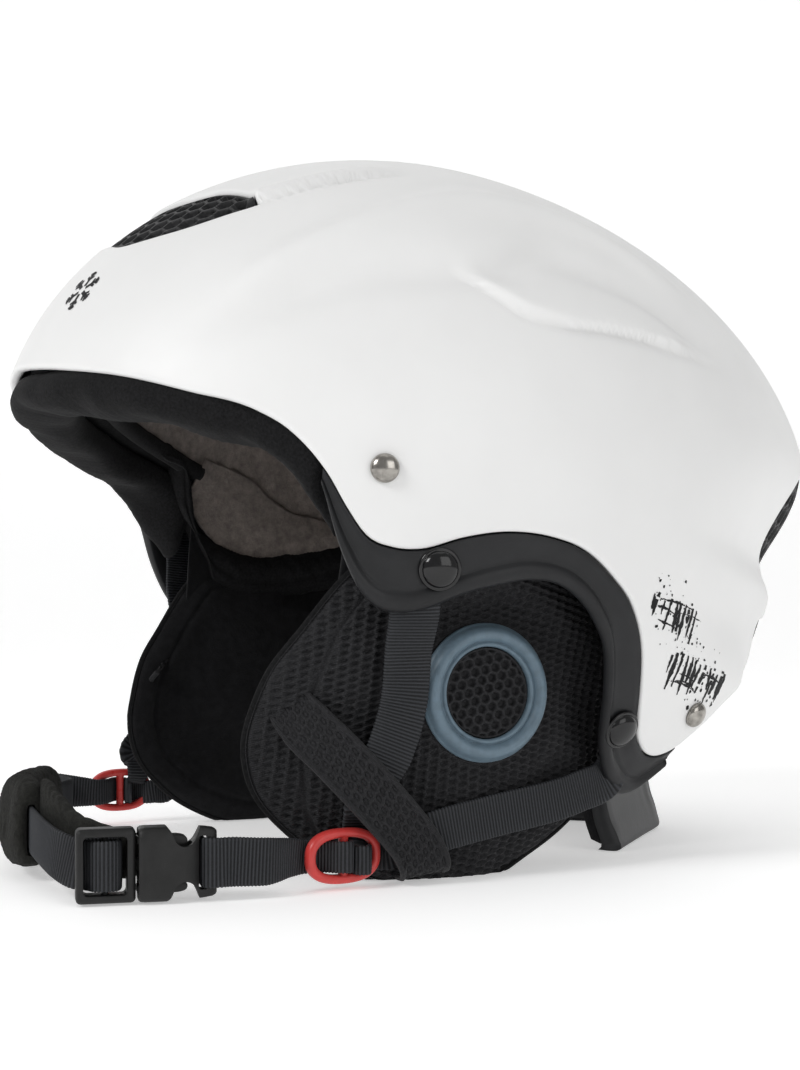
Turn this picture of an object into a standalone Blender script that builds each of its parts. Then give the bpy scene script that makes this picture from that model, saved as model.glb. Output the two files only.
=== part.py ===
"""A ski helmet with ear pads, webbing harness, side-release buckle and chin pad. Lengths in this file are in
millimetres and angles in degrees until mesh_object() turns them into metres. +Z is up, the brow faces -Y and
the wearer's left is +X. The helmet stands on its ear pads and nape pad at z = 0."""

import bmesh
import bpy
import numpy as np

MM = 0.001

# The whole drawing is moved by this, so that the origin lies under the middle of the bounding box.
DRAWING_SHIFT = np.array([0.0, 1.8, 0.0])

# ---- the shell: an egg-like surface round a centre, tilted back by PITCH ----
CENTRE = np.array([0.0, -8.7, 114.75])
PITCH = 7.35
HALF_WIDTH, FRONT_LENGTH, BACK_LENGTH = 107.0, 129.0, 150.0
CROWN_HEIGHT, SKIRT_HEIGHT, ROUNDNESS = 105.6, 150.0, 1.96

# ---- thickness of each layer, as depths below the shell's outer face ----
SHELL_DEPTH = (0.0, 3.2)
TRIM_DEPTH = (0.5, 3.4)
FOAM_DEPTH = (5.2, 24.0)
FLEECE_DEPTH = (25.4, 31.2)
BROW_DEPTH = (4.1, 24.2)
GRILLE_DEPTH = (1.0, 3.0)
STRAP_DEPTH = 5.3
STYLED_DEPTH = 4.5  # the layers below this are plain

# ---- lower edges, as (angle round from the brow, angle above the equator) ----
SHELL_EDGE = [(0, 7.7), (16, 6.3), (28, 5.2), (38, 3.6), (47, 2.0), (52.5, -0.6), (58, -5.8), (61, -10),
              (64, -13.4), (68, -14.7), (72, -14.5), (78, -12.2), (84, -10.6), (92, -10.2), (98, -11.2),
              (104, -14.2), (109, -17.8), (113, -23), (116, -29), (118.5, -33.6), (122, -36.3), (126, -37),
              (130, -35.3), (134, -31.2), (138, -26.8), (142, -24.4), (148, -23), (156, -22), (180, -21.5)]
TRIM_EDGE = [(56, -5), (57.5, -8), (60, -14.5), (63, -20), (66, -23), (70, -23.8), (74, -22.9), (79, -20.5),
             (85, -18.3), (90, -17), (95, -17), (99, -18.5), (103, -21.3), (106.5, -25), (109.5, -31),
             (112, -36.5), (115.5, -40.3), (119.5, -42.8), (123.5, -43.9), (127, -43), (130, -39.5), (134, -34)]
FOAM_EDGE = [(0, 8.4), (30, 6.8), (45, 4.6), (55, 2.4), (65, 1.2), (71, -0.4), (77, -4.2), (84, -7), (92, -7.5),
             (100, -9), (108, -12.5), (115, -16.5), (125, -19.5), (135, -20), (150, -19.5), (165, -18.7), (180, -18.4)]
BROW_EDGE = [(0, 3.0), (16, 1.8), (28, 0.4), (38, -1.7), (47, -4.4), (52, -7.6), (57, -12.5), (60, -15.5)]
TRIM_START, TRIM_STOP = 57.2, 131.0
BROW_STOP = 59.5

# ---- styling of the shell: a raised crest along each side with a hollow under it ----
CREST = [(38, 19), (41, 21), (48, 27), (56, 34.5), (70, 44), (90, 48), (111, 44), (124, 36), (135, 29)]
HOLLOW = [(38, 13), (48, 20), (60, 25), (72, 27), (82, 22), (91, 20), (108, 20), (129, 19), (135, 19)]
CREST_RISE, HOLLOW_SINK = 1.5, 1.6

# ---- vents: outlines as (angle round, angle up) ----
FRONT_VENT = [(0, 28), (12.8, 28), (24, 32.5), (34.1, 37.2), (30, 39.6), (21.4, 40.8), (13, 38.5), (0, 37.6)]
REAR_VENT = [(180, 12), (166, 11.5), (154, 8.5), (149, 3), (153, -3), (166, -4.5), (180, -5)]
LOW_VENT = [(180, -11), (164, -11.5), (154, -13), (156, -17), (166, -18.5), (180, -18.8)]

# ---- hardware on the shell and the trim, as (angle round, angle up) ----
FRONT_RIVET, REAR_RIVET = (65.5, -4.1), (130.6, -29.4)
FRONT_SNAP, REAR_SNAP = (75.1, -17.0), (115.5, -34.9)
RIVET_R, SNAP_R, SHANK_R = 3.9, 6.0, 1.7

# ---- ear pads ----
PAD_OUTLINE = [(-52, 90), (-59.5, 82), (-68, 70), (-75.5, 59), (-80, 46), (-81.3, 36), (-78.5, 25), (-71, 15.5),
               (-60.5, 7.3), (-45, 0.2), (-28, -2.8), (-12, -1.8), (2, 4.8), (15, 12), (26, 21), (31.5, 32),
               (32.5, 45), (30, 60), (24, 74), (14, 85), (0, 92), (-20, 95), (-38, 94)]
PAD_CENTRE = (-26.0, 49.0)
PAD_OUT, PAD_IN = 7.5, 8.5
RING_CENTRE, RING_R, RING_HOLE_R, RING_HEIGHT = (-16.6, 52.5), 19.7, 13.0, 4.4
RING_SEAT_X = 82.6

# ---- webbing ----
WEBBING, WEBBING_THICK = 14.0, 1.3
REAR_WEBBING = 12.0
LOOP_WIDTH, LOOP_THICK = 15.0, 1.2

# ---- strap dividers: plates with two windows, at both ends of the chin strap's swing axis ----
LEFT_WINDOW = np.array([82.5, -65.0, 9.0])
RIGHT_WINDOW = np.array([-77.5, -87.0, 12.0])
DIVIDER_LENGTH, DIVIDER_HEIGHT, DIVIDER_THICK = 23.0, 15.2, 3.6
WINDOW_OFFSET, WINDOW_LENGTH, WINDOW_HEIGHT = 5.7, 7.4, 10.4

# ---- side-release buckle, in a frame whose first axis is the way the clip pulls out ----
BUCKLE_AT = np.array([79.5, -112.5, 10.0])
PULL = np.array([-0.17, -0.985445, 0.0])
SOCKET_END, MOUTH, CLIP_START, CLIP_END = -17.4, 2.9, 3.6, 18.8
BUCKLE_HALF_HEIGHT, SOCKET_HALF_HEIGHT = 9.7, 7.8
PRONG_PIVOT = (3.3, 6.3)

COLOURS = {
    "shell_white": (0.86, 0.86, 0.85), "trim_black": (0.022, 0.023, 0.025), "grille_black": (0.015, 0.015, 0.016),
    "foam_dark": (0.05, 0.05, 0.05), "fleece_taupe": (0.13, 0.12, 0.11), "knit_black": (0.012, 0.012, 0.013),
    "mesh_black": (0.014, 0.014, 0.016), "fleece_black": (0.018, 0.018, 0.02), "ring_grey": (0.16, 0.22, 0.28),
    "webbing_grey": (0.04, 0.042, 0.046), "loop_black": (0.02, 0.02, 0.022), "divider_red": (0.65, 0.03, 0.035),
    "buckle_black": (0.02, 0.02, 0.022), "chrome": (0.75, 0.75, 0.77), "snap_black": (0.01, 0.01, 0.011),
    "nape_grey": (0.03, 0.031, 0.033),
}
ROUGHNESS = {"chrome": 0.15, "snap_black": 0.2, "buckle_black": 0.4, "trim_black": 0.45, "ring_grey": 0.5}


# ------------------------------------------------------------------ plain maths
def unit(vector):
    vector = np.asarray(vector, float)
    return vector / np.linalg.norm(vector)


def ramp(low, high, value):
    """0 at low, 1 at high, smooth between them. high may be less than low."""
    t = np.clip((value - low) / (high - low), 0.0, 1.0)
    return t * t * (3 - 2 * t)


def edge_angle(points, around):
    """The smooth curve through (around, up) points, the same on both sides of the helmet."""
    x, y = np.array(points, float).T
    around = min(abs(around), 360 - abs(around))
    slope = np.gradient(y, x)
    k = int(np.clip(np.searchsorted(x, around) - 1, 0, len(x) - 2))
    h = x[k + 1] - x[k]
    t = float(np.clip((around - x[k]) / h, 0, 1))
    return ((2 * t**3 - 3 * t**2 + 1) * y[k] + (t**3 - 2 * t**2 + t) * h * slope[k]
            + (3 * t**2 - 2 * t**3) * y[k + 1] + (t**3 - t**2) * h * slope[k + 1])


def smooth_path(points, steps):
    """A Catmull-Rom curve through the points, with this many steps between each two."""
    points = np.array(points, float)
    ends = np.vstack([2 * points[0] - points[1], points, 2 * points[-1] - points[-2]])
    out = []
    for k in range(1, len(ends) - 2):
        p0, p1, p2, p3 = ends[k - 1:k + 3]
        for t in np.arange(steps) / steps:
            out.append(0.5 * (2 * p1 + (p2 - p0) * t + (2 * p0 - 5 * p1 + 4 * p2 - p3) * t**2
                              + (3 * p1 - 3 * p2 + p3 - p0) * t**3))
    out.append(points[-1])
    return np.array(out)


# ------------------------------------------------------------------ the helmet's surface
def styling(around, up):
    """How far the crest and the hollow under it stand out of the plain egg shape."""
    side = min(abs(around), 360 - abs(around))
    strength = ramp(38, 50, side) * ramp(135, 118, side)
    if strength == 0:
        return 0.0
    crest = np.exp(-(((up - edge_angle(CREST, side)) / 6.5) ** 2))
    hollow = np.exp(-(((up - edge_angle(HOLLOW, side)) / 6.0) ** 2))
    return strength * (CREST_RISE * crest - HOLLOW_SINK * hollow)


def on_helmet(around, up, depth=0.0):
    """The point this far under the shell's outer face, in the direction (around from the brow, up)."""
    a, u = np.radians(around), np.radians(up)
    x, y, z = np.cos(u) * np.sin(a), -np.cos(u) * np.cos(a), np.sin(u)
    length = FRONT_LENGTH if y < 0 else BACK_LENGTH
    height = CROWN_HEIGHT if z > 0 else SKIRT_HEIGHT
    flat = np.hypot(x / HALF_WIDTH, y / length)
    radius = (flat**ROUNDNESS + (abs(z) / height) ** ROUNDNESS) ** (-1 / ROUNDNESS)
    side = min(abs(around), 360 - abs(around))
    styled = depth < STYLED_DEPTH
    flare = 0.67 * ramp(-14, -24, up) * ramp(160, 134, side) + (0.33 * ramp(-4, -9, up) if styled else 0)
    radius *= 1 - 0.11 * ramp(112, 152, side) * ramp(12, -6, up) * (1 - flare)
    radius += (styling(around, up) if styled else 0) - depth
    c, s = np.cos(np.radians(PITCH)), np.sin(np.radians(PITCH))
    local = np.array([x, y, z]) * radius
    return CENTRE + [local[0], local[1] * c + local[2] * s, -local[1] * s + local[2] * c]


def helmet_normal(around, up):
    across = on_helmet(around + 1, up) - on_helmet(around - 1, up)
    along = on_helmet(around, up + 1) - on_helmet(around, up - 1)
    return unit(np.cross(across, along))


# ------------------------------------------------------------------ building meshes
def material(slot):
    made = bpy.data.materials.get(slot)
    if made is None:
        made = bpy.data.materials.new(slot)
        made.use_nodes = True
        shader = made.node_tree.nodes["Principled BSDF"]
        shader.inputs["Base Color"].default_value = (*COLOURS[slot], 1)
        shader.inputs["Roughness"].default_value = ROUGHNESS.get(slot, 0.8)
        shader.inputs["Metallic"].default_value = 1.0 if slot == "chrome" else 0.0
        made.diffuse_color = (*COLOURS[slot], 1)
    return made


def mesh_object(name, points, faces, slot, origin=(0, 0, 0), cutter=False):
    """One closed mesh, facing outwards, with its origin at the point given."""
    origin = np.array(origin, float)
    mesh = bpy.data.meshes.new(name)
    mesh.from_pydata([tuple((np.array(p) - origin) * MM) for p in points], [], faces)
    work = bmesh.new()
    work.from_mesh(mesh)
    bmesh.ops.recalc_face_normals(work, faces=work.faces)
    work.to_mesh(mesh)
    work.free()
    made = bpy.data.objects.new(name, mesh)
    made.location = tuple((origin + DRAWING_SHIFT) * MM)
    bpy.context.scene.collection.objects.link(made)
    if cutter:
        made.hide_render = True
        made.display_type = "WIRE"
    else:
        mesh.materials.append(material(slot))
        mesh.polygons.foreach_set("use_smooth", [True] * len(mesh.polygons))
    return made


def loft(name, rings, slot, closed=False, **options):
    """Skins rings of equally many points. The ends are filled unless the rings close on themselves."""
    count = len(rings[0])
    points = [p for ring in rings for p in ring]
    faces = []
    for k in range(len(rings) - (0 if closed else 1)):
        a, b = k * count, ((k + 1) % len(rings)) * count
        for i in range(count):
            j = (i + 1) % count
            faces.append((a + i, a + j, b + j, b + i))
    if not closed:
        faces.append(tuple(range(count)))
        faces.append(tuple(range(len(points) - count, len(points))))
    return mesh_object(name, points, faces, slot, **options)


def domed(name, rings, first, last, slot, **options):
    """Skins rings and closes each end with a fan to one point."""
    count = len(rings[0])
    points = [p for ring in rings for p in ring] + [first, last]
    faces = []
    for k in range(len(rings) - 1):
        for i in range(count):
            j = (i + 1) % count
            faces.append((k * count + i, k * count + j, (k + 1) * count + j, (k + 1) * count + i))
    for i in range(count):
        j = (i + 1) % count
        faces.append((len(points) - 2, j, i))
        faces.append((len(points) - 1, (len(rings) - 1) * count + i, (len(rings) - 1) * count + j))
    return mesh_object(name, points, faces, slot, **options)


def boolean(target, cutter, operation="DIFFERENCE"):
    modifier = target.modifiers.new(cutter.name, "BOOLEAN")
    modifier.object = cutter
    modifier.operation = operation
    modifier.solver = "EXACT"


def cap_layer(name, edge, depth, slot, angles, rows):
    """A bowl-shaped layer of the helmet between two depths, down to its edge curve."""
    rings = []
    levels = [(t, depth[0]) for t in np.linspace(0, 1, rows + 1)[1:]]
    levels += [(t, depth[1]) for t in np.linspace(1, 0, rows + 1)[:-1]]
    for t, deep in levels:
        rings.append([on_helmet(a, 90 - t * (90 - edge_angle(edge, a)), deep) for a in angles])
    return domed(name, rings, on_helmet(0, 90, depth[0]), on_helmet(0, 90, depth[1]), slot)


def band_layer(name, upper, lower, depth, slot, angles, bevel=0.0):
    """A curved band between two edge curves and two depths, with its lower edge rounded by bevel."""
    rings = []
    for a in angles:
        high, low = upper(a), lower(a)
        mid = (depth[0] + depth[1]) / 2
        lift = np.degrees(bevel / 115)
        rings.append([on_helmet(a, high, depth[0]), on_helmet(a, (high + low) / 2, depth[0]),
                      on_helmet(a, low + lift, depth[0]),
                      on_helmet(a, low + 0.3 * lift, depth[0] + 0.3 * (mid - depth[0])),
                      on_helmet(a, low, mid), on_helmet(a, low + 0.3 * lift, depth[1] + 0.3 * (mid - depth[1])),
                      on_helmet(a, low + lift, depth[1]), on_helmet(a, (high + low) / 2, depth[1]),
                      on_helmet(a, high, depth[1])])
    return loft(name, rings, slot)


def widened(loop, distance):
    """The loop of (around, up) points moved outwards by this angle."""
    shape = np.array([np.cos(np.radians(np.mean(loop[:, 1]))), 1.0])
    flat = loop * shape
    along = np.roll(flat, -1, axis=0) - np.roll(flat, 1, axis=0)
    across = np.stack([along[:, 1], -along[:, 0]], axis=1)
    across /= np.linalg.norm(across, axis=1)[:, None]
    if np.sum(across * (flat - flat.mean(axis=0))) < 0:
        across = -across
    return (flat + across * distance) / shape


def patch_layer(name, outline, depth, slot, grow=0.0, cutter=False):
    """A panel of the helmet's surface inside a half outline mirrored left to right."""
    half = np.array(outline, float)
    on_back = half[0, 0] == 180
    if on_back:
        loop = [*half, *[(360 - a, u) for a, u in half[-2:0:-1]]]
    else:
        loop = [*half, *[(-a, u) for a, u in half[-2:0:-1]]]
    loop = smooth_path([*loop, loop[0]], 2)[:-1]
    loop = widened(loop, grow)
    middle = loop.mean(axis=0)
    sizes = [(t, depth[0]) for t in (0.25, 0.5, 0.75, 1)] + [(t, depth[1]) for t in (1, 0.75, 0.5, 0.25)]
    rings = [[on_helmet(*(middle + (p - middle) * t), deep) for p in loop] for t, deep in sizes]
    return domed(name, rings, on_helmet(*middle, depth[0]), on_helmet(*middle, depth[1]), slot, cutter=cutter)


def ribbon(name, points, width, thick, outward, slot, steps=4, **options):
    """Flat webbing along a smooth path. outward is the way its outer face looks, one or one for each point."""
    path = smooth_path(points, steps)
    count = len(points)
    at = np.linspace(0, count - 1, len(path))
    widths = np.interp(at, range(count), np.broadcast_to(width, count))
    looks = np.broadcast_to(np.array(outward, float), (count, 3))
    looks = np.stack([np.interp(at, range(count), looks[:, k]) for k in range(3)], axis=1)
    tangents = np.gradient(path, axis=0)
    rings = []
    for point, tangent, look, wide in zip(path, tangents, looks, widths):
        side = unit(np.cross(tangent, look))
        out = unit(np.cross(side, tangent))
        rings.append([point + side * wide * a / 2 + out * thick * b / 2
                      for a, b in ((-1, -1), (-1, 1), (1, 1), (1, -1))])
    return loft(name, rings, slot, **options)


def dome_head(name, around, up, radius, height, shank, slot, base_depth):
    """A domed cap on the helmet's surface with a shank that runs in through it."""
    normal = helmet_normal(around, up)
    seat = on_helmet(around, up, base_depth) + normal * 0.25
    side = unit(np.cross(normal, (0, 0, 1)))
    other = np.cross(normal, side)
    turns = np.radians(np.arange(14) * 360 / 14)
    profile = [(0.55, 0.9), (0.88, 0.55), (1.0, 0.0)]
    rings = [[seat + normal * height * h + (side * np.cos(t) + other * np.sin(t)) * radius * r for t in turns]
             for r, h in profile]
    for r, h in ((SHANK_R, 0.0), (SHANK_R, -shank)):
        rings.append([seat + normal * h + (side * np.cos(t) + other * np.sin(t)) * r for t in turns])
    return domed(name, rings, seat + normal * height, seat - normal * shank, slot)


def hole(name, around, up, radius):
    """A cutter along the surface's normal."""
    normal = helmet_normal(around, up)
    seat = on_helmet(around, up)
    side = unit(np.cross(normal, (0, 0, 1)))
    other = np.cross(normal, side)
    turns = np.radians(np.arange(16) * 22.5)
    rings = [[seat + normal * h + (side * np.cos(t) + other * np.sin(t)) * radius for t in turns] for h in (12, -14)]
    return loft(name, rings, "chrome", cutter=True)


# ------------------------------------------------------------------ shell, foam and linings
def build_head_shell():
    trim_angles = np.linspace(TRIM_START, TRIM_STOP, 20)
    half = [8, 16, 24, 32, 39, 46, 52, *trim_angles, 137, 144, 151, 158, 165, 172.5]
    shell = cap_layer("outer_shell", SHELL_EDGE, SHELL_DEPTH, "shell_white",
                      [0, *half, 180, *[360 - a for a in half[::-1]]], 12)
    for name, outline in (("front", FRONT_VENT), ("rear_upper", REAR_VENT), ("rear_lower", LOW_VENT)):
        boolean(shell, patch_layer(f"cut_{name}", outline, (-6, 8), "chrome", grow=0.3, cutter=True))
        patch_layer(f"{name}_vent_grille", outline, GRILLE_DEPTH, "grille_black")
    turns = np.arange(40) * 9
    cap_layer("eps_liner", FOAM_EDGE, FOAM_DEPTH, "foam_dark", turns, 9)
    cap_layer("comfort_liner", [(a, u + 1.2) for a, u in FOAM_EDGE], FLEECE_DEPTH, "fleece_taupe", turns, 9)
    band_layer("brow_band", lambda a: edge_angle(FOAM_EDGE, a) - 0.3, lambda a: edge_angle(BROW_EDGE, a),
               BROW_DEPTH, "knit_black", np.linspace(-BROW_STOP, BROW_STOP, 25), bevel=5)
    for side, sign in (("left", 1), ("right", -1)):
        trim = band_layer(f"lower_trim_{side}", lambda a: edge_angle(SHELL_EDGE, a) - 0.25,
                          lambda a: edge_angle(TRIM_EDGE, a), TRIM_DEPTH, "trim_black",
                          sign * trim_angles, bevel=1.2)
        for end, place in (("front", FRONT_RIVET), ("rear", REAR_RIVET)):
            around, up = sign * place[0], place[1]
            boolean(shell, hole(f"cut_rivet_{end}_{side}", around, up, SHANK_R + 0.3))
            dome_head(f"strap_rivet_{end}_{side}", around, up, RIVET_R, 2.6, 6.2, "chrome", 0)
        for end, place in (("front", FRONT_SNAP), ("rear", REAR_SNAP)):
            around, up = sign * place[0], place[1]
            boolean(trim, hole(f"cut_snap_{end}_{side}", around, up, SHANK_R + 0.3))
            dome_head(f"snap_cap_{end}_{side}", around, up, SNAP_R, 2.6, 3.6, "snap_black", TRIM_DEPTH[0])


# ------------------------------------------------------------------ ear pads
def pad_middle(y, z):
    """How far out the surface halfway through an ear pad lies."""
    rise = 0.19 * (z - 45) if z > 45 else 0.04 * (z - 45)
    return 75 + rise - 0.003 * (y + 20) ** 2


def pad_layer(name, outer, slot, sign):
    """One half of an ear pad: the outer one carries the ring's flat seat, the inner one lines it."""
    loop = smooth_path([*PAD_OUTLINE, PAD_OUTLINE[0]], 2)[:-1]
    centre = np.array(PAD_CENTRE)
    gap = 0.15
    scales = (0.3, 0.55, 0.75, 0.88, 0.96, 1.0)

    def place(p, scale):
        y, z = p
        swell = (1 - scale**3.2) ** 0.5
        x = pad_middle(y, z)
        if not outer:
            return np.array([sign * (x - gap - PAD_IN * swell), y, max(z, 0)])
        x += gap + PAD_OUT * swell
        reach = np.hypot(y - RING_CENTRE[0], z - RING_CENTRE[1])
        x += (RING_SEAT_X - 0.7 - x) * ramp(34, 25, reach)
        return np.array([sign * x, y, max(z, 0)])

    rings = []
    for scale in scales[:-1]:
        rings.append([place(centre + (p - centre) * scale, scale) for p in loop])
    side = 1 if outer else -1
    for scale, out in ((1.0, 1.6), (0.999, 0.0), (0.5, 0.0)):
        rings.append([np.array([sign * (pad_middle(*q) + side * (gap + out)), q[0], max(q[1], 0)])
                      for q in (centre + (p - centre) * scale for p in loop)])
    start = place(centre, 0.0)
    stop = np.array([sign * (pad_middle(*centre) + side * gap), *centre])
    return domed(name, rings, start, stop, slot)


def ring_solid(name, profile, slot, sign):
    """A ring round the ear hole's axis from (radius, height) points."""
    turns = np.radians(np.arange(24) * 15)
    rings = [[np.array([sign * (RING_SEAT_X + h), RING_CENTRE[0] + r * np.cos(t), RING_CENTRE[1] + r * np.sin(t)])
              for r, h in profile] for t in turns]
    return loft(name, rings, slot, closed=True)


def build_ear_pads():
    for side, sign in (("left", 1), ("right", -1)):
        pad_layer(f"ear_pad_{side}", True, "mesh_black", sign)
        pad_layer(f"ear_pad_lining_{side}", False, "fleece_black", sign)
        r, hole_r, h = RING_R, RING_HOLE_R, RING_HEIGHT
        ring_solid(f"ear_ring_{side}", [(r, 0), (r - 0.4, h * 0.55), (r - 1.9, h * 0.95), (r - 3.4, h), (r - 4.9, h * 0.8),
                                        (hole_r + 0.8, h * 0.55), (hole_r, h * 0.35), (hole_r, 0)], "ring_grey", sign)
        turns = np.radians(np.arange(24) * 15)
        disc = [[np.array([sign * (RING_SEAT_X + x), RING_CENTRE[0] + q * np.cos(t), RING_CENTRE[1] + q * np.sin(t)])
                 for t in turns] for q, x in ((hole_r * 0.5, 1.5), (hole_r - 0.3, 1.2), (hole_r - 0.3, 0.0))]
        domed(f"ear_mesh_{side}", disc, np.array([sign * (RING_SEAT_X + 1.6), *RING_CENTRE]),
              np.array([sign * RING_SEAT_X, *RING_CENTRE]), "mesh_black")
        rise = [(77.6, -68.2, 44.0), (83.6, -62, 36.5), (88.0, -53.5, 26.5)] if side == "left" else [
            (80.5, -69.5, 45), (86.6, -64.5, 39.5), (87.6, -54, 28)]
        loop_path = [(73.6, -73.2, 48.6), *rise,
                     (87.2, -42, 14.0), (86.7, -37.8, 7.6), (84.2, -35.8, 3.6), (78.5, -34.7, 2.2)]
        looks = [(0.75, -0.65, 0.2), (0.8, -0.55, 0.2), (0.9, -0.4, 0.1), (1, -0.1, 0), (1, 0, 0),
                 (1, 0, -0.2), (0.7, 0.1, -1), (0.1, 0.1, -1)]
        ribbon(f"strap_loop_{side}", [(sign * x, y, z) for x, y, z in loop_path], LOOP_WIDTH, LOOP_THICK,
               [(sign * x, y, z) for x, y, z in looks], "loop_black", steps=3)


# ------------------------------------------------------------------ nape pad
def build_nape_pad():
    """Two layers on a bent line round the nape, standing on the table."""
    half = [(0, 92.5), (7, 91.3), (13, 87.5), (23, 77.5), (34, 66.5), (45, 55.5), (54, 46.5)]
    line = smooth_path([*[(-x, y) for x, y in half[:0:-1]], *half], 2)
    tangents = np.gradient(line, axis=0)
    outer = [(0.0, -4.6), (0.0, -1.4), (1.8, 0.0), (8.0, -1.8), (15.0, -4.2), (30.0, -6.0), (52.0, -5.5), (55.5, -7.5)]
    cover, lining = [], []
    for (x, y), (dx, dy) in zip(line, tangents):
        out = unit((-dy, dx, 0)) if dy * x < 0 or abs(x) < 1e-6 else unit((dy, -dx, 0))
        out = out if out[1] > 0 else -out
        taper = 1 - 0.35 * ramp(35, 56, abs(x))
        top = 55.5 - 12 * ramp(20, 56, abs(x))

        def at(depth, z):
            return np.array([x, y, 0]) + out * depth + [0, 0, z * top / 55.5]

        cover.append([at(n, z) for z, n in outer]
                     + [at(n - 7.0 * taper, z) for z, n in ((55.0, -6.0), (30, -6.0), (15, -4.6), (3, -2.0))])
        lining.append([at(n - 7.3 * taper, z) for z, n in ((3, -2.0), (15, -4.6), (30, -6.0), (54.0, -6.0))]
                      + [at(n - 11.5 * taper, z) for z, n in ((52, -6.0), (30, -6.0), (15, -4.6), (5, -2.4))])
    loft("nape_pad", cover, "nape_grey")
    loft("nape_pad_lining", lining, "fleece_black")


# ------------------------------------------------------------------ dividers and the harness
def axis_frame(at, sign):
    """Forward, up and outward at a divider. Outward lies along the chin strap's swing axis."""
    out = unit((LEFT_WINDOW - RIGHT_WINDOW) * sign)
    forward = unit(np.cross(out, (0, 0, 1))) * sign
    forward = forward if forward[1] < 0 else -forward
    up = unit(np.cross(out, forward))
    up = up if up[2] > 0 else -up

    def put(f, u, n):
        return np.array(at) + forward * f + up * u + out * n

    return put, out


def rounded_box(name, put, half, corner, slot, cutter=False, origin=(0, 0, 0)):
    """A plate with rounded corners, in the plane of the first two axes of put."""
    (cx, cy, cz), (hx, hy, hz) = half
    turns = [0, 30, 60, 90]
    ring = []
    for k, (sx, sy) in enumerate(((1, 1), (-1, 1), (-1, -1), (1, -1))):
        for t in turns:
            a = np.radians(t + 90 * k)
            ring.append((cx + sx * (hx - corner) + corner * np.cos(a), cy + sy * (hy - corner) + corner * np.sin(a)))
    edge = min(0.6, hz * 0.3)
    shrink = 1 - edge / min(hx, hy)
    levels = [(1, -hz), (1, hz)] if cutter else [(shrink, -hz), (1, -hz + edge), (1, hz - edge), (shrink, hz)]
    rings = [[put(cx + (x - cx) * scale, cy + (y - cy) * scale, cz + level) for x, y in ring]
             for scale, level in levels]
    return loft(name, rings, slot, cutter=cutter, origin=origin)


def build_harness():
    for side, sign, window in (("left", 1, LEFT_WINDOW), ("right", -1, RIGHT_WINDOW)):
        put, out = axis_frame(window, sign)
        back = -WINDOW_OFFSET
        plate = rounded_box(f"strap_divider_{side}", put,
                            ((back, 0, 0), (DIVIDER_LENGTH / 2, DIVIDER_HEIGHT / 2, DIVIDER_THICK / 2)), 6.5,
                            "divider_red")
        for k, middle in enumerate((0, 2 * back)):
            boolean(plate, rounded_box(f"cut_window_{side}_{k}", put,
                                       ((middle, 0, 0), (WINDOW_LENGTH / 2, WINDOW_HEIGHT / 2, 6)), 2.0,
                                       "chrome", cutter=True))
        rim = 2 * back
        front_end = [put(rim - 0.2, 15, 2.2), put(rim - 0.2, 9.4, 3.1), put(rim - 0.2, 5.8, 2.9),
                     put(rim - 0.2, 3.7, 1.4), put(rim - 0.2, 3.3, -1.2)]
        rear_end = [put(rim - 9.5, -1.4, 2.2), put(rim - 5.4, -1.4, 3.1), put(rim - 3.4, -1.4, 2.8),
                    put(rim - 2.3, -1.4, 1.2), put(rim - 2.2, -1.4, -1.2)]
        top = [(65.2, -1.2), (65.8, -7.0), (68.6, -14.5), (72.3, -22.0)] if side == "left" else [
            (65.2, -1.2), (65.2, -7.0), (65.8, -14.5), (66.2, -21.5)]
        front = [on_helmet(sign * a, u, STRAP_DEPTH) for a, u in top]
        front_looks = [helmet_normal(sign * a, u) for a, u in top]
        top = [(133.2, -27.8), (127.5, -31.0), (120.5, -35.6), (113.6, -40.0)]
        rear = [on_helmet(sign * a, u, STRAP_DEPTH + 0.4) for a, u in top]
        rear_looks = [helmet_normal(sign * a, u) for a, u in top]
        if side == "left":
            front += [(87.6, -42.5, 64), (85.6, -43, 50), (85.2, -47.5, 36)]
            rear += [(82.6, 6, 20.5), (84.0, -16, 17.5), (84.6, -34, 14)]
        else:
            front += [(-86.2, -50, 64), (-83.2, -53, 50), (-81.8, -59, 38)]
            rear += [(-82.6, 4, 22.5), (-83.6, -22, 20), (-83.0, -46, 17), (-80.9, -62, 14.5)]
        count = len(front)
        rings_out = [out] * len(front_end)
        strap = ribbon(f"strap_front_{side}", [*front, *front_end], [WEBBING] * count + [10, 7.6, 6, 5.8, 5.8],
                       WEBBING_THICK, front_looks + [(sign, 0, 0)] * (count - 4) + rings_out[:2]
                       + [out + [0, 0, 0.7], (0, 0, 1), (0, 0, 1)],
                       "webbing_grey", steps=3)
        boolean(strap, hole(f"cut_strap_front_{side}", sign * FRONT_RIVET[0], FRONT_RIVET[1], SHANK_R + 0.3))
        count = len(rear)
        behind = [(0, 1, 0)] * 2
        strap = ribbon(f"strap_rear_{side}", [*rear, *rear_end], [REAR_WEBBING] * count + [8.5, 6.6, 6, 6, 6],
                       WEBBING_THICK, rear_looks + [(sign, 0, 0)] * (count - 4)
                       + rings_out[:2] + [out + [0, 0.7, 0], *behind], "webbing_grey", steps=3)
        boolean(strap, hole(f"cut_strap_rear_{side}", sign * REAR_RIVET[0], REAR_RIVET[1], SHANK_R + 0.3))


# ------------------------------------------------------------------ chin strap, chin pad and buckle
def buckle_put(s, z, n):
    """A point in the buckle's frame: along the pull, up, and outward."""
    out = np.array([-PULL[1], PULL[0], 0])
    return BUCKLE_AT + PULL * s + out * n + [0, 0, z]


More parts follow.
